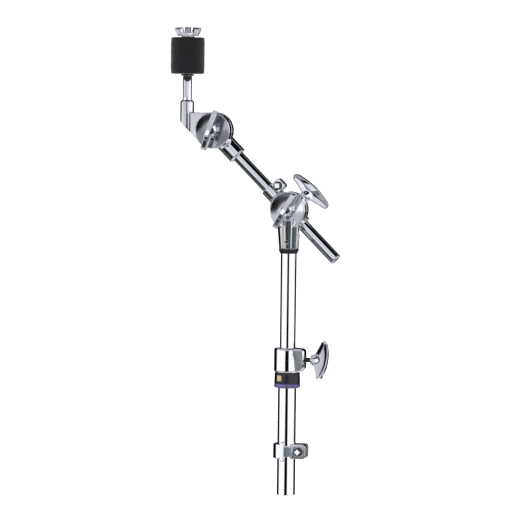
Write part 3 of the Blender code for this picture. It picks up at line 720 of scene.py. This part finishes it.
# ---- height clamp
def make_tubes():
    """Lower tube, upper tube and boom, polished, with rounded ends."""
    for name, radius, place in (("lower_tube", TUBE_R, BASE), ("upper_tube", UPPER_R, BASE),
                                ("boom_rod", BOOM_R, BOOM)):
        heights = place.local(points_of(name))[:, 2]
        low, high = heights.min(), heights.max()
        spin(name + "_polished", [(radius - WALL, low), (radius, low), (radius, high),
                                  (radius - WALL, high)], place, "chrome", name, soft=0.35,
             sides=160)


def points_of(name):
    """A CAD node's own points, in millimetres."""
    mesh = frame["nodes"][name].data
    flat = np.empty(len(mesh.vertices) * 3, np.float32)
    mesh.vertices.foreach_get("co", flat)
    return flat.reshape(-1, 3).astype(float) / MM


BOSS_REACH = 22.0


def boss_outline():
    """Side view of the clamp's boss: round upper corner and a cut lower corner."""
    low, high, corner = 148.5, 176.4, 4.5
    outline = [(8.0, low), (BOSS_REACH - corner, low), (BOSS_REACH, low + corner)]
    outline += arc((BOSS_REACH - corner, high - corner), corner, 0, 90, 8)
    return outline + [(8.0, high)]


def height_collar(p):
    """Cast collar with a flat-sided boss for the wing bolt."""
    body = turned_shape(p, [(TUBE_BORE_R, 129.2), (13.2, 129.2), (13.2, 147.5), (14.7, 147.5),
                            (16.2, 149.4), (16.2, 174.9), (15.7, 176.2), (14.4, 176.8),
                            (13.6, 176.8), (13.3, 176.5), (13.3, 150.3), (TUBE_BORE_R, 150.3)])
    side = outline_distance(p[:, 0], p[:, 2], boss_outline())
    draft = 0.05 * (p[:, 2] - HEIGHT_BOLT_Z)
    taper = 0.4 * (BOSS_REACH - p[:, 0])
    width = (np.abs(p[:, 1]) - 7.9 - taper - draft) * 0.928  # the cosine of the taper
    boss = chamfer_of(side, width, 1.7)
    boss = np.maximum(boss, 12.6 - np.hypot(p[:, 0], p[:, 1]))
    whole = join(body, boss, 0.2)
    bolt = HEIGHT_BOLT.local(p)
    whole = carve(whole, bar(bolt, M6_BORE_R, 10, 25), 0.4)
    return np.maximum(whole, TUBE_BORE_R - np.hypot(p[:, 0], p[:, 1]))


def fluted(angle, radius, height):
    """Shallow finger flutes round the lower half of the trim ring."""
    outer = (radius > 15.0) & (height < 133.6)
    return radius - outer * 0.22 * (0.5 + 0.5 * np.cos(28 * angle))


def badge(p):
    """Small plain plate on the front of the sleeve, towards its left."""
    left_of_front = math.radians(26)
    angle = np.arctan2(p[:, 0], -p[:, 1]) + left_of_front
    radius = np.hypot(p[:, 0], p[:, 1])
    bent = np.stack([angle * 15.5, p[:, 2] - 141.0, radius], 1)  # unrolled off the sleeve
    return block(bent, (-3.3, 3.3), (-3.6, 3.6), (14.4, 15.85), 0.5)


def make_height_clamp():
    """Collar, trim, liner, bolt and wing."""
    cast("height_collar_cast", height_collar, "cast_chrome", COARSE, "height_collar")
    spin("height_sleeve_trim", [(13.5, 134.9), (15.7, 134.9), (15.3, 146.6), (15.0, 147.2),
                                (13.5, 147.2)], BASE, "black_plastic", "height_collar_sleeve")
    spin("height_ring_trim", [(13.5, 129.2), (14.9, 129.2), (15.85, 130.1), (15.85, 133.7),
                              (15.0, 134.6), (13.5, 134.6)], BASE, "purple_plastic",
         "height_collar_ring", soft=0.4, sides=224, relief=fluted)
    cast("sleeve_badge", badge, "gilt", 0.22, "height_collar_sleeve")
    spin("height_bush_liner", [(UPPER_BORE_R, 150.6), (13.0, 150.6), (13.0, 175.6),
                               (UPPER_BORE_R, 175.6)], BASE, "nylon", "height_bush",
         opening=10.4)
    thread("height_stem_thread", HEIGHT_BOLT, M6, 16.7, 35.5, "dark_steel", "height_stem")
    wing("height_wing")


# ---- memory locks
def split(whole, q, screw, bore_r, gap, reach, pocket):
    """Bore a split collar, and cut its slot, its screw's hole and the pocket of the nut.

    q and screw are the points in the collar's and the screw's frames, reach is half the hole's
    length, and the pocket runs from its rear end to a height along the screw.
    """
    whole = carve(whole, np.hypot(q[:, 0], q[:, 1]) - bore_r, 0.3)
    whole = carve(whole, block(q, (2, 40), (-gap / 2, gap / 2), (-20, 20), 0.05), 0.4)
    whole = carve(whole, bar(screw, SCREW_R + 0.4, -reach, reach), 0.4)
    across = (-SQUARE_NUT_HALF - 0.3, SQUARE_NUT_HALF + 0.3)
    return carve(whole, block(screw, across, across, (-reach, pocket)), 0.4)


def memory_clamp(p):
    """Split collar of the lower tube, with a locating key and two screw ears."""
    q = MEMORY.local(p)
    draft = 0.11 * q[:, 2]
    radius = np.hypot(q[:, 0], q[:, 1])
    band = corner_of(radius - 14.0 - draft, np.abs(q[:, 2]) - 6.3, 0.6)
    shell = np.maximum(bar(q, 16.0, -9, 9, 1.1), q[:, 0] - 0.4)
    outline = [(7.0, -9.0)] + arc((21.5, -5.0), 4.0, -90, 0) + arc((21.5, 5.0), 4.0, 0, 90)
    side = outline_distance(q[:, 0], q[:, 2], outline + [(7.0, 9.0)])
    ears = corner_of(side, np.abs(q[:, 1]) - 9.8 - draft * 0.2, 1.4)
    key = block(q, (-4, 0.6), (-17, -12), (-11.5, 11.5), 0.7)
    whole = join(join(join(band, shell, 0.5), ears, 1.2), key, 0.5)
    return split(whole, q, MEMORY_SCREW.local(p), TUBE_BORE_R, 2.4, 12.0, -5.2)


def boom_memory_clamp(p):
    """Split collar of the boom."""
    q = BOOM_LOCK.local(p)
    band = bar(q, 9.85, -7.2, 7.2, 0.7)
    outline = [(4.5, -6.9)] + arc((16.0, -3.9), 3.0, -90, 0) + arc((16.0, 3.9), 3.0, 0, 90)
    side = outline_distance(q[:, 0], q[:, 2], outline + [(4.5, 6.9)])
    ears = corner_of(side, np.abs(q[:, 1]) - 7.0, 1.1)
    whole = join(band, ears, 1.0)
    return split(whole, q, BOOM_LOCK_SCREW.local(p), BOOM_BORE_R, 1.8, 9.0, -3.2)


def make_memory_locks():
    """Both memory locks with their nuts and drum-key screws."""
    cast("memory_clamp_cast", memory_clamp, "cast_chrome", 0.45, "memory_clamp")
    cast("memory_nut_square", lambda p: square_nut_shape(MEMORY_SCREW.local(p), -9.5, -5.5),
         "dark_steel", FINE, "memory_nut")
    key_screw("memory_screw", MEMORY_SCREW, -9.3, 10.3)
    cast("boom_memory_clamp_cast", boom_memory_clamp, "cast_chrome", 0.4, "boom_memory_clamp")
    cast("boom_memory_nut_square",
         lambda p: square_nut_shape(BOOM_LOCK_SCREW.local(p), -6.6, -3.5), "dark_steel", FINE,
         "boom_memory_nut")
    key_screw("boom_memory_screw", BOOM_LOCK_SCREW, -6.4, 7.3)


# ---- lower tilter
NECK_R = 12.35
NECK_DRAFT = 0.085  # growth of the radius with the height
NECK_LOW = 296.0
NECK_CROWN = 332.0  # above this height the column closes in a cone
NECK_SHELF = 313.5  # above this height nothing stays behind the front disc
NECK_FLAT = 11.1  # from the axis to the rear flat


def neck_ring(p):
    """Black trim under the neck, with the neck's rear flat."""
    ring = turned_shape(p, [(UPPER_BORE_R, 290.2), (10.5, 290.2), (12.2, 294.6), (12.2, 295.7),
                            (UPPER_BORE_R, 295.7)])
    return np.maximum(ring, p[:, 1] - NECK_FLAT)


def neck_casting(p):
    """Socket for the upper tube that grows into the lower tilter's front disc."""
    radius = np.hypot(p[:, 0], p[:, 1])
    height = p[:, 2]
    draft = NECK_DRAFT * (height - 304.0)
    ends = np.maximum(NECK_LOW - height, height - NECK_CROWN - 3.0)
    column = corner_of(radius - NECK_R - draft, ends, 0.5)
    column = np.maximum(column, (radius - 12.3 + height - NECK_CROWN) * 0.75)
    behind = np.maximum(NECK_SHELF - height, -DISC_BACK - p[:, 1])
    column = np.maximum(column, -behind)
    whole = join(column, front_disc_shape(LOWER_TILTER.local(p)), 1.2)
    whole = np.maximum(whole, -behind)
    whole = np.maximum(whole, p[:, 1] - NECK_FLAT)
    whole = carve(whole, bar(p, UPPER_BORE_R, 280, 310.8), 0.3)
    whole = carve(whole, bar(LOWER_TILTER.local(p), M8_BORE_R, -5, 20), 0.3)
    return carve(whole, bar(NECK_PIN.local(p), 1.8, 7, 16), 0.4)


def boom_holder(p):
    """Rear disc, the cross tube of the boom and the boss of its clamp bolt."""
    tilter = LOWER_TILTER.local(p)
    boom = BOOM.local(p)
    clamp = BOOM_CLAMP.local(p)
    whole = join(rear_disc_shape(tilter), bar(boom, 10.8, -22, 24.4, 0.8), 1.5)
    boss_top = 22.2
    boss = bar(clamp, 8.2, 0, boss_top, 0.9)
    rings = np.clip(np.cos(math.tau * (clamp[:, 2] - boss_top) / 2.6), 0, 1)
    boss = boss + 0.35 * rings * (clamp[:, 2] > 17.0)
    whole = join(whole, boss, 1.5)
    whole = np.maximum(whole, tilter[:, 2])
    whole = carve(whole, bar(boom, 8.6, -40, 40), 0.4)
    whole = carve(whole, hexagon(tilter, BOLT_POCKET, -4.6, 1), 0.2)
    return carve(whole, bar(clamp, M6_BORE_R, 5, 30), 0.4)


def make_neck_and_holder():
    """Neck, boom holder and what is bolted to them."""
    cast("neck_ring_trim", neck_ring, "black_plastic", FINE, "neck_ring")
    neck = cast("neck_cast", neck_casting, "cast_chrome", MEDIUM, "neck_casting")
    dull_and_shade_dish(neck, LOWER_TILTER, "satin_chrome")
    spin("neck_pin_domed", [(0, 8.6), (1.5, 8.6), (1.5, 11.7), (0.9, 12.2), (0, 12.2)], NECK_PIN,
         "dark_steel", "neck_pin", sides=32)
    cast("boom_holder_cast", boom_holder, "cast_chrome", COARSE, "boom_holder")
    bolt_tilter("lower", LOWER_TILTER)
    spin("boom_liner_sleeve", [(BOOM_BORE_R, -21.5), (8.3, -21.5), (8.3, 24.0),
                               (BOOM_BORE_R, 24.0)], BOOM, "nylon", "boom_liner", soft=0.15,
         opening=12.0)
    thread("boom_clamp_thread", BOOM_CLAMP, M6, 12.1, 30.4, "dark_steel", "boom_clamp_stem")
    wing("boom_clamp_wing")


# ---- upper tilter and cymbal post
POST_R = 5.5
SOCKET_R = 8.3  # socket of the post


def make_end_plug():
    """Domed plug in the boom's lower end."""
    top = -79.3
    dome = [(BOOM_R * math.sin(a), top - 2.4 * math.cos(a) ** 0.7)
            for a in np.radians((0, 12, 25, 40, 55, 68, 79, 90))]
    spin("boom_end_plug_turned", dome + [(5.65, top), (5.65, top + 7), (0, top + 7)], BOOM,
         "chrome", "boom_end_plug", soft=0.2)


def upper_holder(p):
    """Rear disc with the ferrule that takes the boom's upper end."""
    tilter = UPPER_TILTER.local(p)
    ferrule = FERRULE.local(p)
    sleeve = turned_shape(ferrule, [(0, -39.4), (10.2, -39.4), (11.2, -38.4), (11.2, 4),
                                    (7, 11), (0, 11)])
    whole = join(rear_disc_shape(tilter), sleeve, 1.5)
    whole = np.maximum(whole, tilter[:, 2])
    whole = carve(whole, bar(ferrule, BOOM_BORE_R, -60, -24), 0.4)
    whole = carve(whole, hexagon(tilter, BOLT_POCKET, -4.6, 1), 0.2)
    return carve(whole, bar(FERRULE_SCREW.local(p), 2.8, 5, 15), 0.4)


def cymbal_arm(p):
    """Front disc, flat web and the socket of the cymbal post."""
    tilter = UPPER_TILTER.local(p)
    post = POST.local(p)
    inner = POST_POINT[0] - UPPER_PIVOT[0]
    left = inner - SOCKET_R
    foot = -(DISC_R - 0.6) / math.sqrt(2)
    outline = [(0.0, DISC_R - 0.4), (inner, DISC_R - 0.4), (inner, 3.3), (foot, foot), (4.0, 0.0)]
    thickness = np.maximum(DISC_BACK - tilter[:, 2], tilter[:, 2] - DISC_FRONT + 1.6)
    web = corner_of(outline_distance(tilter[:, 0], tilter[:, 1], outline), thickness, 0.9)
    socket = turned_shape(post, [(0, -14), (SOCKET_R, -14), (SOCKET_R, 33.9), (7.9, 34.5),
                                 (6.3, 36.3), (5.9, 36.5), (0, 36.5)])
    arm = join(web, socket, 1.4)
    slope = (left - tilter[:, 0] + 11.6 - tilter[:, 1]) * math.sqrt(0.5)
    arm = corner_of(arm, slope, 0.8)
    disc_r = np.hypot(tilter[:, 0], tilter[:, 1])
    arm = np.maximum(arm, DISC_R - 2.8 - disc_r)
    arm = join(arm, front_disc_shape(tilter), 0.8)
    arm = carve(arm, bar(post, POST_R + 0.3, 14.7, 60), 0.4)
    arm = carve(arm, bar(tilter, M8_BORE_R, -5, 30), 0.3)
    return carve(arm, bar(SOCKET_SCREW.local(p), 2.4, 3, 12), 0.4)


def cymbal_wing_nut(p):
    """Hub with a washer face and two raised wings."""
    q = POST.local(p)
    low = 111.9
    hub = turned_shape(q, [(0, low), (7.0, low), (7.4, low + 0.4), (7.4, low + 1.2),
                           (6.9, low + 1.8), (5.9, low + 2.6), (5.6, low + 4.6),
                           (5.2, low + 5.0), (0, low + 5.0)])
    blade = [(4.0, low + 1.8), (11.4, low + 1.3)]
    blade += arc((11.8, low + 3.0), 1.8, -75, -20, 3) + arc((14.6, low + 9.6), 1.8, -20, 80, 6)
    blade += arc((7.7, low + 10.4), 1.5, 90, 170, 4) + [(5.2, low + 6.0), (4.0, low + 4.0)]
    edge = outline_distance(np.abs(q[:, 0]), q[:, 2], blade)
    hollow = 0.55 * np.clip((-edge - 0.9) / 1.6, 0, 1)
    wings = corner_of(edge, np.abs(q[:, 1]) - 1.9 + hollow, 0.6)
    return carve(join(hub, wings, 1.6), bar(q, M8_BORE_R, low - 2, low + 20), 0.3)


def make_upper_tilter():
    """Ferrule, arm, post and nut."""
    cast("upper_holder_cast", upper_holder, "cast_chrome", COARSE, "upper_holder")
    arm = cast("cymbal_arm_cast", cymbal_arm, "cast_chrome", MEDIUM, "cymbal_arm")
    # the upper dish gets painted shade: a darker chrome in place of its dark reflections
    dull_and_shade_dish(arm, UPPER_TILTER, "painted_shade_chrome")
    bolt_tilter("upper", UPPER_TILTER)
    socket_screw("ferrule_screw", FERRULE_SCREW, BOOM_BORE_R, 11.0, 2.4)
    socket_screw("socket_screw", SOCKET_SCREW, 5.8, 8.1, 2.0)
    foot = [(0, 15.0), (POST_R - 0.4, 15.0), (POST_R, 15.4), (POST_R, 64.6), (POST_R - 0.4, 65.0),
            (4.0, 65.0)]
    thread("cymbal_post_turned", POST, M8, 104.0, 124.1, "chrome", "cymbal_post", foot)
    washer("seat_washer", POST, M8_BORE_R, 7.6, 65.3, 67.2, "matt_black")
    washer("nylon_sleeve", POST, M8_BORE_R, 5.9, 67.5, 109.9, "nylon")
    cast("cymbal_wing_nut_cast", cymbal_wing_nut, "chrome", 0.3, "cymbal_wing_nut")


# ---- felts
def lumps(p, seed):
    """Smooth unevenness of pressed wool, from a few crossed waves."""
    random = np.random.default_rng(seed)
    total = np.zeros(len(p))
    for size, height in ((9.0, 0.12), (4.0, 0.09), (1.7, 0.05), (0.9, 0.035)):
        for _ in range(5):
            direction = random.normal(size=3)
            direction /= np.linalg.norm(direction)
            phase = random.uniform(0, math.tau)
            total += height * np.sin(p @ direction * math.tau / size + phase)
    return total * 0.5


FELT_R = 20.4
FELT_HOLE_R = 6.5


def felt_shape(node_name, seed, outer):
    """Thick felt disc with an uneven surface.

    outer is 1 or -1 for its upper or lower end, which has a soft round edge. The other end is
    flat, where the felts meet.
    """
    low, high = (corner[2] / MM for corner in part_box(node_name))
    centre = (low + high) / 2
    half = (high - low) / 2

    def shape(p):
        radius = np.hypot(p[:, 0] - POST_POINT[0], p[:, 1] - POST_POINT[1])
        level = p[:, 2] - centre
        crown = 0.5 * (level / half) ** 2
        side = radius - FELT_R + crown * (level * outer > 0)
        away = corner_of(side, level * outer - half + 0.15, 1.6)
        disc = carve(away, radius - FELT_HOLE_R, 0.8)
        disc = disc + np.clip(lumps(p, seed), -0.2, 0.2) * 0.6 + 0.1
        return corner_of(disc, -level * outer - half, 0.2)
    return shape


def make_felts():
    """Both felts, as padded pieces."""
    for seed, (node_name, outer) in enumerate((("lower_felt", -1), ("upper_felt", 1))):
        shape = felt_shape(node_name, seed, outer)
        felt = cast(node_name + "_pad", shape, "felt", MEDIUM, node_name)


# ---- studio
CAMERA_AZIMUTH = math.radians(13.5)
CAMERA_ELEVATION = math.radians(3.0)
CAMERA_ROLL = math.radians(0.68)
CAMERA_DISTANCE = 3.2
FRAME_WIDTH = 0.6348  # what the view takes in at the object
AIM = Vector((-0.0297, 0.0, 0.2762))
TO_CAMERA = Vector((math.sin(CAMERA_AZIMUTH) * math.cos(CAMERA_ELEVATION),
                    -math.cos(CAMERA_AZIMUTH) * math.cos(CAMERA_ELEVATION),
                    math.sin(CAMERA_ELEVATION)))


def make_camera():
    """Long lens at the object's right, slightly above the middle."""
    data = bpy.data.cameras.new("camera")
    data.lens = data.sensor_width * CAMERA_DISTANCE / FRAME_WIDTH
    data.clip_end = 50.0
    made = bpy.data.objects.new("camera", data)
    made.location = AIM + TO_CAMERA * CAMERA_DISTANCE
    look = (-TO_CAMERA).to_track_quat("-Z", "Y").to_matrix().to_4x4()
    made.rotation_euler = (look @ Matrix.Rotation(CAMERA_ROLL, 4, "Z")).to_euler()
    bpy.context.scene.collection.objects.link(made)
    bpy.context.scene.camera = made


def math_node(tree, operation, first, second=None):
    """A math node on sockets or numbers."""
    made = node(tree, "ShaderNodeMath", operation=operation)
    for socket, value in zip(made.inputs, (first, second)):
        if value is None:
            continue
        if isinstance(value, (int, float)):
            socket.default_value = value
        else:
            tree.links.new(value, socket)
    return made.outputs[0]


def toward(tree, direction, vector):
    """How far a direction points along a fixed one."""
    made = node(tree, "ShaderNodeVectorMath", operation="DOT_PRODUCT")
    tree.links.new(direction, made.inputs[0])
    made.inputs[1].default_value = vector
    return made.outputs["Value"]


def degrees_ramp(tree, angle, low, high, stops):
    """A ramp over an angle in degrees, from low to high."""
    share = math_node(tree, "DIVIDE", math_node(tree, "SUBTRACT", angle, low), high - low)
    return ramp(tree, share, [((stop - low) / (high - low), colour) for stop, colour in stops])


def grey(value, tint=(1.0, 1.0, 1.0)):
    """A grey, or a tinted one."""
    return tuple(value * t for t in tint)


LAVENDER = (0.89, 0.89, 1.0)
CYAN = (0.83, 0.92, 1.0)
PINK = (1.0, 0.93, 0.95)
GREEN = (0.88, 1.0, 0.95)


def faded(tree, colour, amount):
    """A colour where amount is white, and white where amount is black."""
    made = node(tree, "ShaderNodeMix", data_type="RGBA", A=(1, 1, 1, 1))
    tree.links.new(amount, made.inputs["Factor"])
    tree.links.new(colour, made.inputs["B"])
    return made.outputs["Result"]


def times(tree, first, second):
    """Two colours multiplied."""
    made = node(tree, "ShaderNodeMix", data_type="RGBA", blend_type="MULTIPLY", Factor=1.0)
    tree.links.new(first, made.inputs["A"])
    tree.links.new(second, made.inputs["B"])
    return made.outputs["Result"]


def make_world():
    """Studio that polished pieces reflect; the camera itself sees plain white.

    It is drawn in degrees from the camera, azimuth to its right and elevation up, as ramps of
    greys that are multiplied. Each counts only where its partner ramp, over the other angle or
    over part of the same one, is white.
    """
    world = bpy.data.worlds.new("studio")
    bpy.context.scene.world = world
    world.use_nodes = True
    tree = world.node_tree
    back = tree.nodes["Background"]
    direction = tree.nodes.new("ShaderNodeTexCoord").outputs["Generated"]
    flat = Vector((TO_CAMERA.x, TO_CAMERA.y, 0)).normalized()
    forward = toward(tree, direction, flat)
    right = toward(tree, direction, (-flat.y, flat.x, 0))
    height = toward(tree, direction, (0, 0, 1))
    azimuth = math_node(tree, "DEGREES", math_node(tree, "ARCTAN2", right, forward))
    elevation = math_node(tree, "DEGREES", math_node(tree, "ARCSINE", height))

    def around(*stops):
        return degrees_ramp(tree, azimuth, -180, 180, stops)

    def upward(*stops):
        return degrees_ramp(tree, elevation, -90, 90, stops)

    white, black, dark = grey(1.0), grey(0.0), grey(0.003)
    behind = around((-180, grey(0.8)), (-175, dark), (-106, dark), (-99, white), (99, white),
                    (106, dark), (175, dark))
    not_overhead = upward((-62, black), (-38, grey(0.9)), (-21, grey(0.9)), (-14, grey(0.4)),
                          (-10.5, white), (42, white), (66, black))
    from_flag = math_node(tree, "ABSOLUTE", math_node(tree, "ADD", azimuth, 5.0))
    from_flag = math_node(tree, "ADD", from_flag, math_node(tree, "MULTIPLY", elevation, 0.9))
    flag = degrees_ramp(tree, from_flag, -20, 80, [(9.5, dark), (12.5, white)])
    level = upward((-13, black), (-9.5, white), (-0.5, white), (1.0, grey(0.7)), (3.5, black))
    side_tint = around((-110, white), (-60, grey(0.55, LAVENDER)), (-40, grey(0.5, LAVENDER)),
                       (-25, grey(0.56, LAVENDER)), (-5, grey(0.7, CYAN)),
                       (25, grey(0.8, LAVENDER)), (70, white))
    above = upward((-1.8, black), (0.5, white), (36, white), (60, black))
    sky = upward((-20, white), (32, white), (40, grey(0.5, LAVENDER)),
                 (65, grey(0.62, LAVENDER)), (90, grey(0.5, CYAN)))
    ceiling = around((-30, white), (0, dark), (95, dark), (110, white))
    high = upward((33, black), (37, white), (56, white), (63, black))
    low_front = around((-110, grey(0.8)), (-98, grey(0.5, PINK)), (-52, grey(0.45, PINK)),
                       (-48, white), (-43, white), (-38, grey(0.05)), (-14, grey(0.07)),
                       (-8, grey(0.14, GREEN)), (17, grey(0.13, CYAN)), (22, white),
                       (26, white), (31, grey(0.1, CYAN)), (92, grey(0.12, CYAN)), (105, white))
    low = upward((-18, black), (-14, white), (-9.8, white), (-8.2, black))
    deep_front = around((-112, grey(0.8)), (-102, dark), (-58, dark), (-50, grey(0.45)),
                        (-38, grey(0.04)), (-16, grey(0.07, CYAN)), (-6, grey(0.3, CYAN)),
                        (75, grey(0.4, LAVENDER)), (100, white))
    deep = upward((-42, black), (-33, white), (-18, white), (-14, black))
    floor_tint = upward((-90, grey(0.45)), (-55, grey(0.4)), (-38, grey(0.4, LAVENDER)),
                        (-16, grey(0.75, CYAN)), (-9, white))
    in_front = around((-115, black), (-95, white), (80, white), (105, black))
    light = faded(tree, behind, not_overhead)
    for colour, amount in ((flag, level), (side_tint, above), (ceiling, high), (low_front, low),
                           (deep_front, deep), (floor_tint, in_front)):
        light = times(tree, light, faded(tree, colour, amount))
    light = times(tree, light, sky)
    plain = node(tree, "ShaderNodeMix", data_type="RGBA", B=(1, 1, 1, 1))
    seen = tree.nodes.new("ShaderNodeLightPath").outputs["Is Camera Ray"]
    tree.links.new(seen, plain.inputs["Factor"])
    tree.links.new(light, plain.inputs["A"])
    tree.links.new(plain.outputs["Result"], back.inputs["Color"])
    back.inputs["Strength"].default_value = 1.12


def make_floor():
    """Wide pale floor just under the tube's end. Polished pieces reflect the studio instead."""
    size = 30.0
    mesh = bpy.data.meshes.new("floor")
    mesh.from_pydata([(-size, -size, 0), (size, -size, 0), (size, size, 0), (-size, size, 0)], [],
                     [(0, 1, 2, 3)])
    made = bpy.data.objects.new("floor", mesh)
    made.location.z = -0.0006
    made.visible_glossy = False
    pale = finish_of("floor", ((0.86, 0.86, 0.86), (0.9, 0.9, 0.9)), (0.8, 0.9), 0.0, 2.0, 40.0,
                     0.0001, extras=[("Emission Color", (1, 1, 1, 1)), ("Emission Strength", 0.9)])
    mesh.materials.append(pale)
    bpy.context.scene.collection.objects.link(made)


def make_lights():
    """Big soft boxes over the floor, two before the object and one behind it."""
    for name, place, size, power in (("key", (-1.6, -1.8, 2.6), 2.2, 60.0),
                                     ("fill", (2.2, -1.2, 2.0), 2.0, 30.0),
                                     ("rear", (0.4, 2.4, 2.6), 2.4, 40.0)):
        data = bpy.data.lights.new(name, "AREA")
        data.size = size
        data.energy = power
        made = bpy.data.objects.new(name, data)
        made.location = place
        aim = Vector((0, 0, 0.3)) - Vector(place)
        made.rotation_euler = aim.to_track_quat("-Z", "Y").to_euler()
        made.visible_glossy = False
        bpy.context.scene.collection.objects.link(made)


def dress_hidden_nodes():
    """Give the CAD nodes that stay, all inside the others, their procedural finishes."""
    slots = {"collar_pin": "dark_steel", "height_shoe": "dark_steel", "guide_bush": "nylon",
             "lower_stud": "dark_steel", "boom_clamp_shoe": "dark_steel",
             "upper_stud": "dark_steel"}
    for name, slot in slots.items():
        made = frame["nodes"][name]
        made.data.materials.clear()
        made.data.materials.append(FINISHES[slot])


make_tubes()
make_height_clamp()
make_memory_locks()
make_neck_and_holder()
make_end_plug()
make_upper_tilter()
make_felts()
dress_hidden_nodes()
make_camera()
make_world()
make_floor()
make_lights()
bpy.context.scene.view_settings.view_transform = "Standard"
